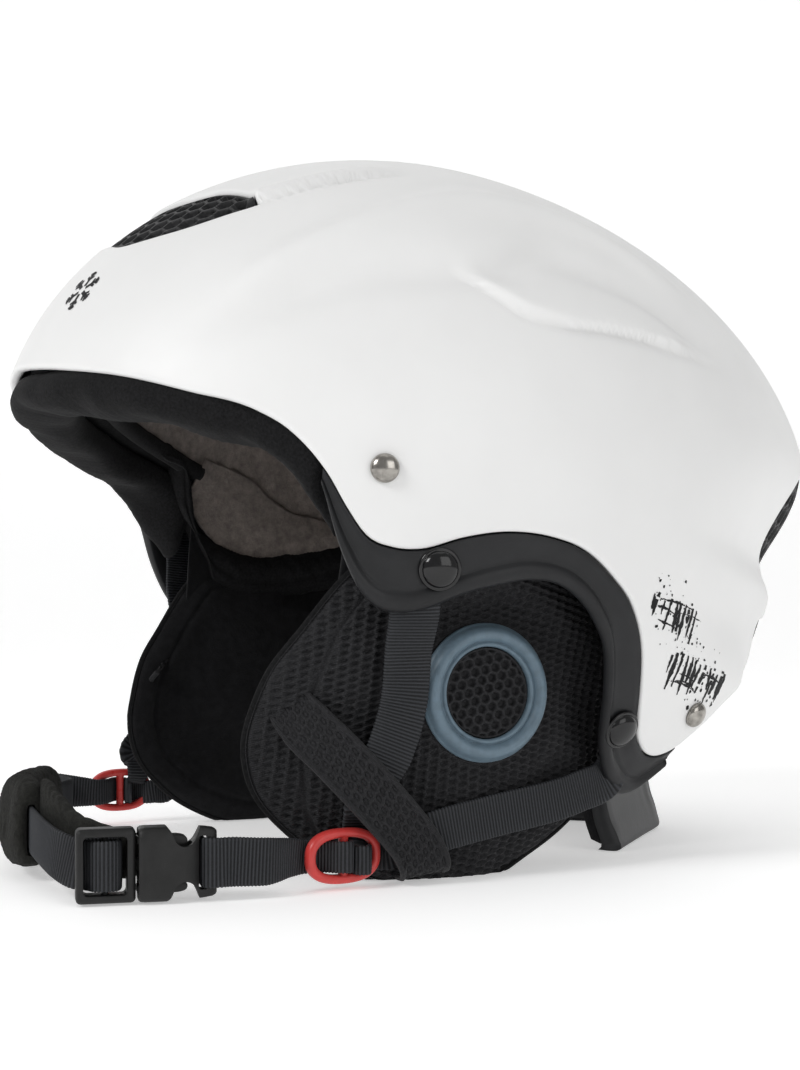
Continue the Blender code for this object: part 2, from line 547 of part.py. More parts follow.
def build_chin_strap():
    put, out = axis_frame(LEFT_WINDOW, 1)
    buckle_out = buckle_put(0, 0, 1) - buckle_put(0, 0, 0)
    left = [put(-0.2, 0, -1.6), put(0, 0, 0.6), put(1.9, 0, 2.9), put(5.8, 0, 3.2), put(12, 0.6, 2.8),
            put(20, 0.6, 2.4), buckle_put(-21.5, 0, 2.9), buckle_put(-17.8, 0, 3.5), buckle_put(-15.2, 0, 3.3),
            buckle_put(-13.95, 0, 1.8), buckle_put(-13.8, 0, -1.6)]
    looks = [(0, -1, 0), (0.5, -1, 0), out, out, out, out, buckle_out, buckle_out, buckle_out - PULL * -0.6, PULL, PULL]
    ribbon("chin_webbing_left", left, [8, 8, 8.4, 9.4, 11.5, 13, 13, 13, 13, 13, 13], WEBBING_THICK, looks,
           "webbing_grey", steps=3)
    put, far_out = axis_frame(RIGHT_WINDOW, -1)
    run = [(66.0, -133.4, 11.6), (58.0, -134.6, 12.8), (48.0, -135.0, 14.0), (34.0, -134.5, 14.8), (18.0, -132.9, 15.0),
           (0.0, -128.7, 14.6), (-18.0, -122.3, 13.8), (-34.0, -115.4, 13.0), (-48.0, -108.4, 12.6),
           (-60.0, -103.0, 12.4)]
    path = [buckle_put(4.4, 0, -4.7), buckle_put(12, 0, -4.7), buckle_put(18.6, 0, -5.0), *run,
            put(18, 0.8, 2.6), put(11, 0.2, 3.0), put(5.8, 0, 3.2), put(1.9, 0, 2.9), put(0, 0, 0.6), put(-0.2, 0, -1.6)]
    count = len(run)
    looks = [buckle_out] * 3 + [(0.5, -1, 0), (0.2, -1, 0), (0, -1, 0), (-0.02, -1, 0), (-0.15, -1, 0), (-0.35, -1, 0),
                                (-0.45, -1, 0), (-0.5, -1, 0), (-0.5, -1, 0), (-0.6, -1, 0)]
    looks += [far_out, far_out, far_out, far_out, (-0.5, -1, 0), (0, -1, 0)]
    widths = [13] * (3 + count) + [12, 10.5, 9.4, 8.4, 8, 8]
    ribbon("chin_webbing_right", path, widths, WEBBING_THICK, looks, "webbing_grey", steps=3)

    pad_line = smooth_path(run[1:-2], 2)
    tangents = np.gradient(pad_line, axis=0)
    rings = []
    turns = np.radians(np.arange(12) * 30 + 15)
    for k, (point, tangent) in enumerate(zip(pad_line, tangents)):
        side = np.array([0, 0, 1.0])
        face = unit(np.cross(tangent, side))
        end = min(k, len(pad_line) - 1 - k)
        fullness = (0.62, 0.9, 1.0)[min(end, 2)]
        rings.append([point + side * (0.4 + 13.2 * fullness * np.sign(np.sin(t)) * abs(np.sin(t)) ** 0.7)
                      + face * 6.0 * fullness * np.sign(np.cos(t)) * abs(np.cos(t)) ** 0.7 for t in turns])
    slot_ring = []
    for point, tangent in zip(pad_line[::-1], tangents[::-1]):
        face = unit(np.cross(tangent, (0, 0, 1)))
        slot_ring.append([point + np.array([0, 0, 7.1]) * np.sign(np.sin(t)) * abs(np.sin(t)) ** 0.4
                          + face * 1.25 * np.sign(np.cos(t)) * abs(np.cos(t)) ** 0.4 for t in turns])
    loft("chin_pad", [*rings, *slot_ring], "fleece_black", closed=True)


def build_buckle():
    pivot = LEFT_WINDOW
    height = BUCKLE_HALF_HEIGHT
    sections = [(SOCKET_END, 0.86, 1.7), (SOCKET_END + 0.9, 0.93, 2.3), (-12.6, 0.97, 2.5), (-9.8, 1.0, 4.6),
                (-8.2, 1.0, 5.0), (MOUTH - 0.8, 1.0, 5.0), (MOUTH, 0.95, 4.5)]
    rings = []
    for s, tall, thick in sections:
        ring = []
        for t in np.radians(np.arange(24) * 15 + 7.5):
            c, d = np.cos(t), np.sin(t)
            ring.append(buckle_put(s, height * tall * np.sign(d) * abs(d) ** 0.45, thick * np.sign(c) * abs(c) ** 0.45))
        rings.append(ring)
    female = loft("buckle_female", rings, "buckle_black", origin=pivot)

    def box(name, low, high, **options):
        (s0, z0, n0), (s1, z1, n1) = low, high
        ring = [(z0, n0), (z1, n0), (z1, n1), (z0, n1)]
        return loft(name, [[buckle_put(s, z, n) for z, n in ring] for s in (s0, s1)], "buckle_black", **options)

    boolean(female, box("cut_socket", (-11.0, -SOCKET_HALF_HEIGHT, -2.8), (9, SOCKET_HALF_HEIGHT, 2.8), cutter=True))
    boolean(female, box("cut_webbing_slot", (-15.0, -7.0, -8), (-12.6, 7.0, 8), cutter=True))
    for name, sign in (("upper", 1), ("lower", -1)):
        notch = [(-13.6, 11.5), (-10.2, 4.6), (-7.4, 4.6), (-4.4, 11.5)]
        cutter = loft(f"cut_notch_{name}", [[buckle_put(s, sign * z, n) for s, z in notch] for n in (-9, 9)],
                      "buckle_black", cutter=True)
        boolean(female, cutter)

    male = box("buckle_male", (CLIP_START, -9.6, -3.4), (CLIP_END, 9.6, 3.4), origin=buckle_put(CLIP_START, 0, 0))
    bevel = male.modifiers.new("edges", "BEVEL")
    bevel.width, bevel.segments, bevel.limit_method = 1.1 * MM, 2, "ANGLE"
    boolean(male, box("cut_ladder_a", (CLIP_START + 3.0, -7.1, -6), (CLIP_START + 6.4, 7.1, 6), cutter=True))
    boolean(male, box("cut_ladder_b", (CLIP_START + 8.6, -7.1, -6), (CLIP_END - 2.6, 7.1, 6), cutter=True))
    boolean(male, box("add_tongue", (-8.4, -1.7, -1.3), (CLIP_START + 1.0, 1.7, 1.3), cutter=True), "UNION")

    for name, sign in (("upper", 1), ("lower", -1)):
        shape = [(PRONG_PIVOT[0], 5.2), (-0.3, 5.0), (-5.2, 4.4), (-8.6, 4.6), (-9.9, 5.7), (-9.2, 7.2), (-7.0, 7.45),
                 (-4.1, 7.3), (-3.1, 6.7), (0.1, 7.0), (PRONG_PIVOT[0], 7.3)]
        rings = [[buckle_put(s, sign * z, n) for s, z in shape] for n in (-2.2, 2.2)]
        loft(f"buckle_prong_{name}", rings, "buckle_black", origin=buckle_put(PRONG_PIVOT[0], sign * PRONG_PIVOT[1], 0))


for existing in list(bpy.data.objects):
    bpy.data.objects.remove(existing, do_unlink=True)

build_head_shell()
build_ear_pads()
build_nape_pad()
build_harness()
build_chin_strap()
build_buckle()
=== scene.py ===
"""The looks of a ski helmet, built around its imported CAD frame: the shell, the trims, the linings, the ear
pads, the webbing harness, the buckle and the chin pad. Lengths are in millimetres and angles in degrees
until make() turns them into metres. +Z is up, the brow faces -Y and the wearer's left is +X."""

import math

import bmesh
import bpy
import numpy as np
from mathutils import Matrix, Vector
from mathutils.kdtree import KDTree


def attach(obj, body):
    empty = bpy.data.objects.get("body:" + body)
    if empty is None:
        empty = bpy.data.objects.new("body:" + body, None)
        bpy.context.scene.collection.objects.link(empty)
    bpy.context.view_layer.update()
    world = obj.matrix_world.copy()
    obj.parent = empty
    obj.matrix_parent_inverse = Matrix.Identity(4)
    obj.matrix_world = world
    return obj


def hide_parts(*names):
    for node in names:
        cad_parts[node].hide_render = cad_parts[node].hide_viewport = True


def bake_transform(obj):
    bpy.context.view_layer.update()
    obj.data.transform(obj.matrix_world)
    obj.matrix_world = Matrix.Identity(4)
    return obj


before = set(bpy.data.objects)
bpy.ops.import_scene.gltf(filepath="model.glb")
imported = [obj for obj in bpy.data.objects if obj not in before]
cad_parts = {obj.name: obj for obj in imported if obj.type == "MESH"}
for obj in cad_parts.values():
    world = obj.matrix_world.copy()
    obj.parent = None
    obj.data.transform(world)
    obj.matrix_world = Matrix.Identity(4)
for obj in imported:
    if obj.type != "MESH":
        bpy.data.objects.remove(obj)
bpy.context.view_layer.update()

MM = 0.001
SHIFT = np.array([0.0, 1.8, 0.0])

# ------------------------------------------------------------------ sizes of the shell and what follows it
CENTRE = np.array([0.0, -8.7, 114.75])
PITCH = math.radians(7.35)
HALF_WIDTH, FRONT_LENGTH, BACK_LENGTH = 107.0, 129.0, 150.0
CROWN_HEIGHT, SKIRT_HEIGHT, ROUNDNESS = 105.6, 150.0, 1.96
SHELL_THICK = 3.2
STYLED_DEPTH = 4.5  # the layers below this are plain
FOAM_DEPTH, FLEECE_DEPTH, STRAP_DEPTH = (5.2, 24.0), (25.4, 31.2), 5.3

SHELL_EDGE = [(0, 7.7), (16, 6.3), (28, 5.2), (38, 3.6), (47, 2.0), (52.5, -0.6), (58, -5.8), (61, -10),
              (64, -13.4), (68, -14.7), (72, -14.5), (78, -12.2), (84, -10.6), (92, -10.2), (98, -11.2),
              (104, -14.2), (109, -17.8), (113, -23), (116, -29), (118.5, -33.6), (122, -36.3), (126, -37),
              (130, -35.3), (134, -31.2), (138, -26.8), (142, -24.4), (148, -23), (156, -22), (180, -21.5)]
TRIM_EDGE = [(56, -5), (57.5, -8), (60, -14.5), (63, -20), (66, -23), (70, -23.8), (74, -22.9), (79, -20.5),
             (85, -18.3), (90, -17), (95, -17), (99, -18.5), (103, -21.3), (106.5, -25), (109.5, -31),
             (112, -36.5), (115.5, -40.3), (119.5, -42.8), (123.5, -43.9), (127, -43), (130, -39.5),
             (134, -34)]
FOAM_EDGE = [(0, 8.4), (30, 6.8), (45, 4.6), (55, 2.4), (65, 1.2), (71, -0.4), (77, -4.2), (84, -7),
    (92, -7.5),
             (100, -9), (108, -12.5), (115, -16.5), (125, -19.5), (135, -20), (150, -19.5), (165, -18.7),
             (180, -18.4)]
BROW_EDGE = [(0, 3.0), (16, 1.8), (28, 0.4), (38, -1.5), (47, -3.6), (52, -6.3), (57, -11.5), (60, -15.5)]
TRIM_START, TRIM_STOP, BROW_STOP = 57.2, 131.0, 59.5

CREST = [(36, 16), (41, 20.7), (48, 27.3), (56, 34.6), (70, 45), (90, 49.2), (111, 45), (124, 36.3),
    (138, 29)]
VALLEY = [(36, 11), (48, 20), (60, 26), (72, 29), (80, 31), (91, 36), (108, 34), (124, 27), (138, 22)]
CREASE = [(72, 30.1), (76, 28.3), (80, 25.4), (84, 23.4), (91, 22.6), (99, 23.4), (108, 23.6), (118, 22.8),
    (130, 22)]
FOLD = [(30, 35.5), (34.5, 37.4), (43, 44.5), (52, 50.2), (62, 55)]

FRONT_VENT = [(0, 29.4), (7, 28.5), (14, 27.4), (24, 30.0), (31.3, 34.4), (34.1, 37.2), (30, 39.6),
    (21.4, 40.8), (13, 38.8), (0, 38.0)]
REAR_VENT = [(180, 12), (166, 11.5), (154, 8.5), (149, 3), (153, -3), (166, -4.5), (180, -5)]
LOW_VENT = [(180, -11), (164, -11.5), (154, -13), (156, -17), (166, -18.5), (180, -18.8)]

FRONT_RIVET, REAR_RIVET = (65.5, -4.1), (130.6, -29.4)
FRONT_SNAP, REAR_SNAP = (75.1, -17.0), (115.5, -34.9)
RIVET_R, SNAP_R = 3.9, 5.9

# ------------------------------------------------------------------ sizes of the soft parts and the harness
PAD_OUTLINE = [(-52, 90), (-59.5, 82), (-68, 70), (-75.5, 59), (-80, 46), (-81.3, 36), (-78.5, 25),
    (-71, 15.5),
               (-60.5, 7.3), (-45, 0.2), (-28, -2.8), (-12, -1.8), (2, 4.8), (15, 12), (26, 21), (31.5, 32),
               (32.5, 45), (30, 60), (24, 74), (14, 85), (0, 92), (-20, 95), (-38, 94)]
PAD_CENTRE = np.array([-26.0, 49.0])
PAD_OUT, PAD_IN = 7.5, 8.5
RING_CENTRE, RING_R, RING_HOLE_R, RING_HEIGHT = np.array([-16.6, 52.5]), 19.7, 13.0, 4.4
RING_SEAT_X = 82.6
LEFT_WINDOW = np.array([82.5, -65.0, 9.0])
RIGHT_WINDOW = np.array([-77.5, -87.0, 12.0])
WINDOW_OFFSET = 5.7
DIVIDER_HALF_LENGTH, DIVIDER_HALF_HEIGHT = 11.5, 7.6
FRONT_WIDTH, REAR_WIDTH, CHIN_WIDTH, LOOP_WIDTH = 14, 12, 13, 15
BUCKLE_AT = np.array([79.5, -112.5, 10.0])
PULL = np.array([-0.17, -0.985445, 0.0])
SOCKET_END, MOUTH, CLIP_START, CLIP_END = -17.4, 2.9, 3.6, 18.8

CLOTH_FRAMES = 20

# ------------------------------------------------------------------ the camera, in metres
VIEW = np.array([0.9135, -0.4067, 0.0])
VIEW_DISTANCE, VIEW_TARGET = 0.520, np.array([0, -0.0042, 0.073])
LENS, HORIZON_SHIFT = 52.49, 0.0794393


# ------------------------------------------------------------------ plain maths
def unit(vectors):
    vectors = np.asarray(vectors, float)
    return vectors / np.maximum(np.linalg.norm(vectors, axis=-1, keepdims=True), 1e-12)


def ramp(low, high, value):
    t = np.clip((np.asarray(value, float) - low) / (high - low), 0.0, 1.0)
    return t * t * (3 - 2 * t)


def curve_at(points, around):
    """The smooth curve through (around, value) points, the same on both sides of the helmet."""
    x, y = np.array(points, float).T
    around = np.mod(np.asarray(around, float), 360)
    side = np.minimum(around, 360 - around)
    slope = np.gradient(y, x)
    k = np.clip(np.searchsorted(x, side) - 1, 0, len(x) - 2)
    h = x[k + 1] - x[k]
    t = np.clip((side - x[k]) / h, 0, 1)
    return ((2 * t**3 - 3 * t**2 + 1) * y[k] + (t**3 - 2 * t**2 + t) * h * slope[k]
            + (3 * t**2 - 2 * t**3) * y[k + 1] + (t**3 - t**2) * h * slope[k + 1])


def smooth_path(points, steps):
    """A Catmull-Rom curve through the points, with this many steps between each two."""
    points = np.array(points, float)
    ends = np.vstack([2 * points[0] - points[1], points, 2 * points[-1] - points[-2]])
    out = []
    for k in range(1, len(ends) - 2):
        p0, p1, p2, p3 = ends[k - 1:k + 3]
        t = (np.arange(steps) / steps)[:, None]
        out.append(0.5 * (2 * p1 + (p2 - p0) * t + (2 * p0 - 5 * p1 + 4 * p2 - p3) * t**2
                          + (3 * p1 - 3 * p2 + p3 - p0) * t**3))
    return np.vstack([*out, points[-1:]])


def even(path, spacing, closed=False):
    """The path with points this far apart."""
    if closed:
        path = np.vstack([path, path[:1]])
    length = np.concatenate([[0], np.cumsum(np.linalg.norm(np.diff(path, axis=0), axis=1))])
    count = max(3, int(round(length[-1] / spacing)))
    at = np.linspace(0, length[-1], count + 1)
    out = np.stack([np.interp(at, length, path[:, k]) for k in range(path.shape[1])], axis=1)
    return out[:-1] if closed else out


def wobble(points, scale, seed=0):
    """Smooth pseudo-random values in about -1 to 1 at points, with features about this large."""
    local = np.random.default_rng(seed)
    total = np.zeros(points.shape[:-1])
    for octave, share in ((1.0, 0.6), (2.1, 0.3), (4.3, 0.15)):
        for _ in range(5):
            way = local.normal(size=points.shape[-1])
            way = way / np.linalg.norm(way) * (2 * math.pi * octave / scale) * local.uniform(0.7, 1.3)
            total += share / 2 * np.sin(points @ way + local.uniform(0, 6.28))
    return total


def squared(value, power):
    """A sine or cosine pushed towards -1 and 1, which squares off a round section."""
    return np.sign(value) * abs(value) ** power


# ------------------------------------------------------------------ the helmet's surface
def styling(around, up):
    """How far the crest, the hollow and the creases stand out of the plain egg shape."""
    side = np.minimum(np.mod(around, 360), 360 - np.mod(around, 360))
    strength = ramp(36, 50, side) * ramp(140, 118, side)
    crest = np.exp(-(((up - curve_at(CREST, side)) / 3.8) ** 2))
    valley = np.exp(-(((up - curve_at(VALLEY, side)) / 4.2) ** 2))
    out = strength * (2.7 * crest - 3.2 * valley)
    off = up - curve_at(CREASE, side)
    step = ramp(71.5, 80, side) * ramp(136, 108, side)
    tall = np.interp(side, [71, 77, 90, 112], [2.2, 4.0, 8.5, 9.5])
    lens = np.exp(-((np.clip(off - 0.3, 0, None) / tall) ** 2)) * ramp(-0.35, 0.5, off)
    out = out + step * (2.5 * lens - 0.8 * np.exp(-((off + 0.25) / 0.9) ** 2))
    off = up - curve_at(FOLD, side)
    fold = ramp(30, 35, side) * ramp(64, 46, side)
    lip = np.exp(-np.clip(off, 0, None) ** 2 / 30) * ramp(-0.4, 0.5, off)
    return out + fold * (2.8 * lip - 1.2 * np.exp(-(off / 0.9) ** 2))


def on_helmet(around, up, depth=0.0):
    """The points this far under the shell's outer face, in the directions (around from the brow, up)."""
    around, up, depth = np.broadcast_arrays(*(np.asarray(v, float) for v in (around, up, depth)))
    a, u = np.radians(around), np.radians(up)
    x, y, z = np.cos(u) * np.sin(a), -np.cos(u) * np.cos(a), np.sin(u)
    length = np.where(y < 0, FRONT_LENGTH, BACK_LENGTH)
    height = np.where(z > 0, CROWN_HEIGHT, SKIRT_HEIGHT)
    flat = np.hypot(x / HALF_WIDTH, y / length)
    radius = (flat**ROUNDNESS + (np.abs(z) / height) ** ROUNDNESS) ** (-1 / ROUNDNESS)
    side = np.minimum(np.mod(around, 360), 360 - np.mod(around, 360))
    styled = depth < STYLED_DEPTH
    flare = 0.67 * ramp(-14, -24, up) * ramp(160, 134, side) + np.where(styled, 0.33 * ramp(-4, -9, up), 0)
    radius = radius * (1 - 0.11 * ramp(112, 152, side) * ramp(12, -6, up) * (1 - flare))
    radius = radius + np.where(styled, styling(around, up), 0) - depth
    c, s = math.cos(PITCH), math.sin(PITCH)
    return np.stack([x * radius, (y * c + z * s) * radius, (-y * s + z * c) * radius], axis=-1) + CENTRE


def helmet_normal(around, up):
    across = on_helmet(around + 0.5, up) - on_helmet(around - 0.5, up)
    along = on_helmet(around, up + 0.5) - on_helmet(around, up - 0.5)
    return unit(np.cross(across, along))


# ------------------------------------------------------------------ meshes
def make(name, points, faces, material, uv=None, smooth=True):
    """A mesh object in the row frame. uv is one (along, across) pair for each point, in millimetres."""
    mesh = bpy.data.meshes.new(name)
    points = (np.asarray(points, float).reshape(-1, 3) + SHIFT) * MM
    mesh.from_pydata(points.tolist(), [], [tuple(int(i) for i in f) for f in faces])
    if uv is not None:
        layer = mesh.uv_layers.new(name="flat")
        at = np.empty(len(mesh.loops), np.int32)
        mesh.loops.foreach_get("vertex_index", at)
        layer.data.foreach_set("uv", np.asarray(uv, np.float32)[at].reshape(-1))
    mesh.materials.append(material)
    work = bmesh.new()
    work.from_mesh(mesh)
    bmesh.ops.recalc_face_normals(work, faces=work.faces)
    work.to_mesh(mesh)
    work.free()
    mesh.polygons.foreach_set("use_smooth", [smooth] * len(mesh.polygons))
    made = bpy.data.objects.new(name, mesh)
    bpy.context.scene.collection.objects.link(made)
    return made


def grid_faces(rows, cols, wrap_rows=False, wrap_cols=True, base=0):
    k = np.arange(rows if wrap_rows else rows - 1)
    i = np.arange(cols if wrap_cols else cols - 1)
    K, I = np.meshgrid(k, i, indexing="ij")
    K2, I2 = (K + 1) % rows, (I + 1) % cols
    quads = np.stack([K * cols + I, K * cols + I2, K2 * cols + I2, K2 * cols + I], axis=-1).reshape(-1,
        4) + base
    return quads.tolist()


def skin(name, rings, material, closed=False, caps="flat", uv=None):
    """Skins rings of equally many points: caps is flat, none, or a pair of end points for fans."""
    rings = np.asarray(rings, float)
    n, m = rings.shape[:2]
    points = rings.reshape(-1, 3)
    faces = grid_faces(n, m, wrap_rows=closed)
    if not closed and isinstance(caps, str) and caps == "flat":
        faces += [list(range(m)), list(range((n - 1) * m, n * m))]
    elif not closed and not isinstance(caps, str):
        first, last = caps
        points = np.vstack([points, [first], [last]])
        i = np.arange(m)
        j = (i + 1) % m
        faces += np.stack([np.full(m, n * m), j, i], axis=1).tolist()
        faces += np.stack([np.full(m, n * m + 1), (n - 1) * m + i, (n - 1) * m + j], axis=1).tolist()
        if uv is not None:
            uv = np.vstack([np.asarray(uv).reshape(-1, 2), [[0, 0]], [[0, 0]]])
    if uv is not None:
        uv = np.asarray(uv).reshape(-1, 2)
    return make(name, points, faces, material, uv)


def put_on(obj, body="helmet", nodes=None):
    """The finished piece takes the place of its CAD node and rides on its body."""
    nodes = nodes or [obj.name.replace("fine_", "")]
    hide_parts(*nodes)
    if body:
        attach(obj, body)
    return obj


def boolean(target, cutter, operation="DIFFERENCE"):
    modifier = target.modifiers.new("cut", "BOOLEAN")
    modifier.object, modifier.operation, modifier.solver = cutter, operation, "EXACT"
    with bpy.context.temp_override(object=target, active_object=target, selected_objects=[target]):
        bpy.ops.object.modifier_apply(modifier="cut")
    bpy.data.objects.remove(cutter, do_unlink=True)


def apply_all(obj):
    graph = bpy.context.evaluated_depsgraph_get()
    mesh = bpy.data.meshes.new_from_object(obj.evaluated_get(graph), depsgraph=graph)
    obj.modifiers.clear()
    obj.data = mesh


def bevelled(obj, width, segments=3, angle=35):
    bevel = obj.modifiers.new("edges", "BEVEL")
    bevel.width, bevel.segments = width * MM, segments
    bevel.limit_method, bevel.angle_limit = "ANGLE", math.radians(angle)
    bevel.harden_normals = False
    return obj


# ------------------------------------------------------------------ materials
class Look:
    """A small helper for node materials."""

    def __init__(self, name, colour, rough, metallic=0.0):
        self.made = bpy.data.materials.new(name)
        self.made.use_nodes = True
        self.made.diffuse_color = (*colour, 1)
        self.nodes, self.links = self.made.node_tree.nodes, self.made.node_tree.links
        self.shader = next(n for n in self.nodes if n.type == "BSDF_PRINCIPLED")
        self.set("Base Color", (*colour, 1))
        self.set("Roughness", rough)
        self.set("Metallic", metallic)
        self.colour = colour

    def set(self, name, value):
        self.shader.inputs[name].default_value = value

    def add(self, kind, inputs=(), **settings):
        node = self.nodes.new(kind)
        for key, value in settings.items():
            setattr(node, key, value)
        for key, value in dict(inputs).items():
            if isinstance(value, bpy.types.NodeSocket):
                self.links.new(value, node.inputs[key])
            else:
                node.inputs[key].default_value = value
        return node

    def place(self, kind="Object", scale=(1, 1, 1)):
        """Coordinates in millimetres: Object from the row frame, UV along and across."""
        source = self.add("ShaderNodeTexCoord").outputs[kind]
        size = 1000 if kind == "Object" else 1
        return self.add("ShaderNodeMapping",
            {"Vector": source, "Scale": tuple(size * s for s in scale)}).outputs[0]

    def noise(self, size, detail=3.0, place=None, rough=0.55):
        place = place or self.place()
        return self.add("ShaderNodeTexNoise", {"Vector": place, "Scale": 1 / size, "Detail": detail,
            "Roughness": rough}).outputs["Fac"]

    def spread(self, value, low, high, from_low=0.3, from_high=0.7):
        return self.add("ShaderNodeMapRange", {"Value": value, "From Min": from_low, "From Max": from_high,
                                               "To Min": low, "To Max": high}).outputs["Result"]

    def tint(self, value, dark, light):
        """The base colour runs from dark to light times itself as value goes from 0.3 to 0.7."""
        fac = self.spread(value, 0.0, 1.0)
        mix = self.add("ShaderNodeMix", data_type="RGBA")
        self.links.new(fac, mix.inputs["Factor"])
        mix.inputs["A"].default_value = (*[c * dark for c in self.colour], 1)
        mix.inputs["B"].default_value = (*[min(1, c * light) for c in self.colour], 1)
        self.links.new(mix.outputs["Result"], self.shader.inputs["Base Color"])
        return mix

    def ribs(self, pitch, dark, light):
        """Woven ribs across a strip, painted into the colour: painted shade in the valley between each two
        ribs, running to a painted highlight on each rib's top, with a little fluff.
        """
        along = self.add("ShaderNodeSeparateXYZ", {"Vector": self.place("UV")}).outputs["X"]
        turn = self.add("ShaderNodeMath", {0: along, 1: 2 * math.pi / pitch}, operation="MULTIPLY").outputs[0]
        # painted shade and highlight: dark in the rib valleys, light on the rib tops
        painted_rib_shade = self.add("ShaderNodeMath", {0: turn}, operation="COSINE").outputs[0]
        fluff = self.add("ShaderNodeMath", {0: self.noise(0.5, 4), 1: 1.6}, operation="MULTIPLY").outputs[0]
        both = self.add("ShaderNodeMath", {0: painted_rib_shade, 1: fluff}, operation="ADD").outputs[0]
        self.tint(self.spread(both, 0.3, 0.7, -0.2, 1.8), dark, light)

    def rough(self, value, low, high):
        self.links.new(self.spread(value, low, high), self.shader.inputs["Roughness"])

    def bump(self, value, depth, strength=1.0):
        node = self.add("ShaderNodeBump", {"Height": value, "Distance": depth * MM, "Strength": strength})
        if self.shader.inputs["Normal"].is_linked:
            self.links.new(self.shader.inputs["Normal"].links[0].from_socket, node.inputs["Normal"])
        self.links.new(node.outputs[0], self.shader.inputs["Normal"])


def make_looks():
    looks = {}

    def start(name, colour, rough, metallic=0.0, specular=0.5):
        looks[name] = Look(name + "_look", colour, rough, metallic)
        looks[name].set("Specular IOR Level", specular)
        return looks[name]

    look = start("shell_white", (0.86, 0.86, 0.855), 0.46, specular=0.35)
    look.tint(look.noise(38, 4), 0.965, 1.0)
    look.rough(look.noise(6, 5), 0.4, 0.52)
    look.bump(look.noise(0.9, 2), 0.012, 0.6)
    look.bump(look.noise(0.25, 2), 0.004, 0.5)

    look = start("trim_black", (0.0125, 0.0128, 0.014), 0.44, specular=0.3)
    look.tint(look.noise(14, 5), 0.8, 1.3)
    look.rough(look.noise(5, 5), 0.38, 0.52)
    look.bump(look.noise(0.35, 2), 0.03, 0.5)

    look = start("grille_black", (0.007, 0.007, 0.008), 0.5, specular=0.35)
    look.tint(look.noise(3, 4), 0.7, 1.5)
    look.bump(look.noise(0.5, 3), 0.08, 0.6)

    look = start("foam_dark", (0.012, 0.012, 0.0125), 0.85, specular=0.15)
    cells = look.add("ShaderNodeTexVoronoi", {"Vector": look.place(), "Scale": 1 / 3.2},
        feature="DISTANCE_TO_EDGE").outputs["Distance"]
    look.bump(cells, 0.5, 0.6)
    look.tint(look.noise(6), 0.8, 1.3)

    for name, colour, size, sheen in (("fleece_taupe", (0.17, 0.145, 0.13), 0.5, 0.2),
            ("fleece_black", (0.0085, 0.0085, 0.0095), 0.45, 0.05)):
        look = start(name, colour, 0.95, specular=0.08)
        look.set("Sheen Weight", sheen)
        look.set("Sheen Roughness", 0.6)
        look.tint(look.noise(3.2, 7, rough=0.75), 0.6, 1.5)
        look.bump(look.noise(size, 4, rough=0.75), 0.45, 0.9)
        look.bump(look.noise(4.5, 3), 0.5, 0.5)

    look = start("chin_fleece", (0.021, 0.021, 0.019), 0.95, specular=0.08)
    look.set("Sheen Weight", 0.05)
    look.tint(look.noise(1.4, 6, rough=0.75), 0.55, 1.5)
    look.bump(look.noise(0.45, 4, rough=0.75), 0.4, 0.9)

    look = start("knit_black", (0.0085, 0.0085, 0.009), 0.9, specular=0.1)
    look.set("Sheen Weight", 0.03)
    look.tint(look.noise(0.8, 5), 0.6, 1.7)
    look.bump(look.noise(0.4, 3), 0.2, 0.8)

    look = start("mesh_black", (0.014, 0.014, 0.0155), 0.72, specular=0.25)
    look.set("Sheen Weight", 0.04)
    strands = look.add("ShaderNodeTexWave", {"Vector": look.place("UV"), "Scale": 0.55, "Distortion": 2.5,
                                             "Detail": 3.0, "Detail Scale": 1.6},
                                             bands_direction="Y").outputs["Fac"]
    look.tint(look.noise(0.6, 5, rough=0.7), 0.5, 1.9)
    look.bump(strands, 0.16, 0.7)
    look.bump(look.noise(0.3, 3), 0.1, 0.7)

    look = start("ring_grey", (0.125, 0.18, 0.225), 0.4, specular=0.35)
    look.tint(look.noise(2.5, 6), 0.86, 1.14)
    look.rough(look.noise(2, 4), 0.34, 0.5)
    look.bump(look.noise(0.3, 2), 0.01, 0.5)

    look = start("webbing_grey", (0.026, 0.0275, 0.031), 0.6, specular=0.25)
    # the colour ribs line up with the webbing's geometric ribs: painted shade in their valleys, painted
    # highlight on their tops
    look.ribs(0.95, 0.28, 1.5)
    look.bump(look.noise(0.2, 3), 0.06, 0.7)

    look = start("divider_red", (0.6, 0.05, 0.045), 0.32, specular=0.45)
    look.tint(look.noise(4, 5), 0.9, 1.1)
    look.rough(look.noise(3, 4), 0.26, 0.4)
    look.bump(look.noise(1.2, 3), 0.03, 0.6)

    look = start("buckle_black", (0.0125, 0.0125, 0.0125), 0.46, specular=0.32)
    look.tint(look.noise(5, 5), 0.8, 1.35)
    look.bump(look.noise(0.28, 3), 0.045, 0.8)

    look = start("chrome", (0.40, 0.38, 0.35), 0.16, 1.0)
    look.rough(look.noise(0.6, 4), 0.1, 0.28)
    look.tint(look.noise(2.2, 4), 0.6, 1.15)
    look = start("snap_black", (0.004, 0.004, 0.0045), 0.12, specular=0.5)
    look.rough(look.noise(1.2, 4), 0.07, 0.18)

    look = start("nape_grey", (0.014, 0.0145, 0.016), 0.48, specular=0.35)
    look.tint(look.noise(9, 5), 0.8, 1.3)
    look.bump(look.noise(1.6, 4), 0.12, 0.5)
    look.bump(look.noise(0.3, 2), 0.03, 0.6)

    look = start("ink_black", (0.008, 0.008, 0.009), 0.5, specular=0.2)
    look.rough(look.noise(2, 4), 0.42, 0.6)
    return {name: look.made for name, look in looks.items()}


MATS = make_looks()


# ------------------------------------------------------------------ shell, vents and printed marks
def spaced_angles():
    """Angles round the helmet, closer together where the edge is steep."""
    half = np.concatenate([np.arange(0, 48, 1.5), np.arange(48, 140, 0.8), np.arange(140, 180, 1.5)])
    return np.concatenate([half, [180], 360 - half[:0:-1]])


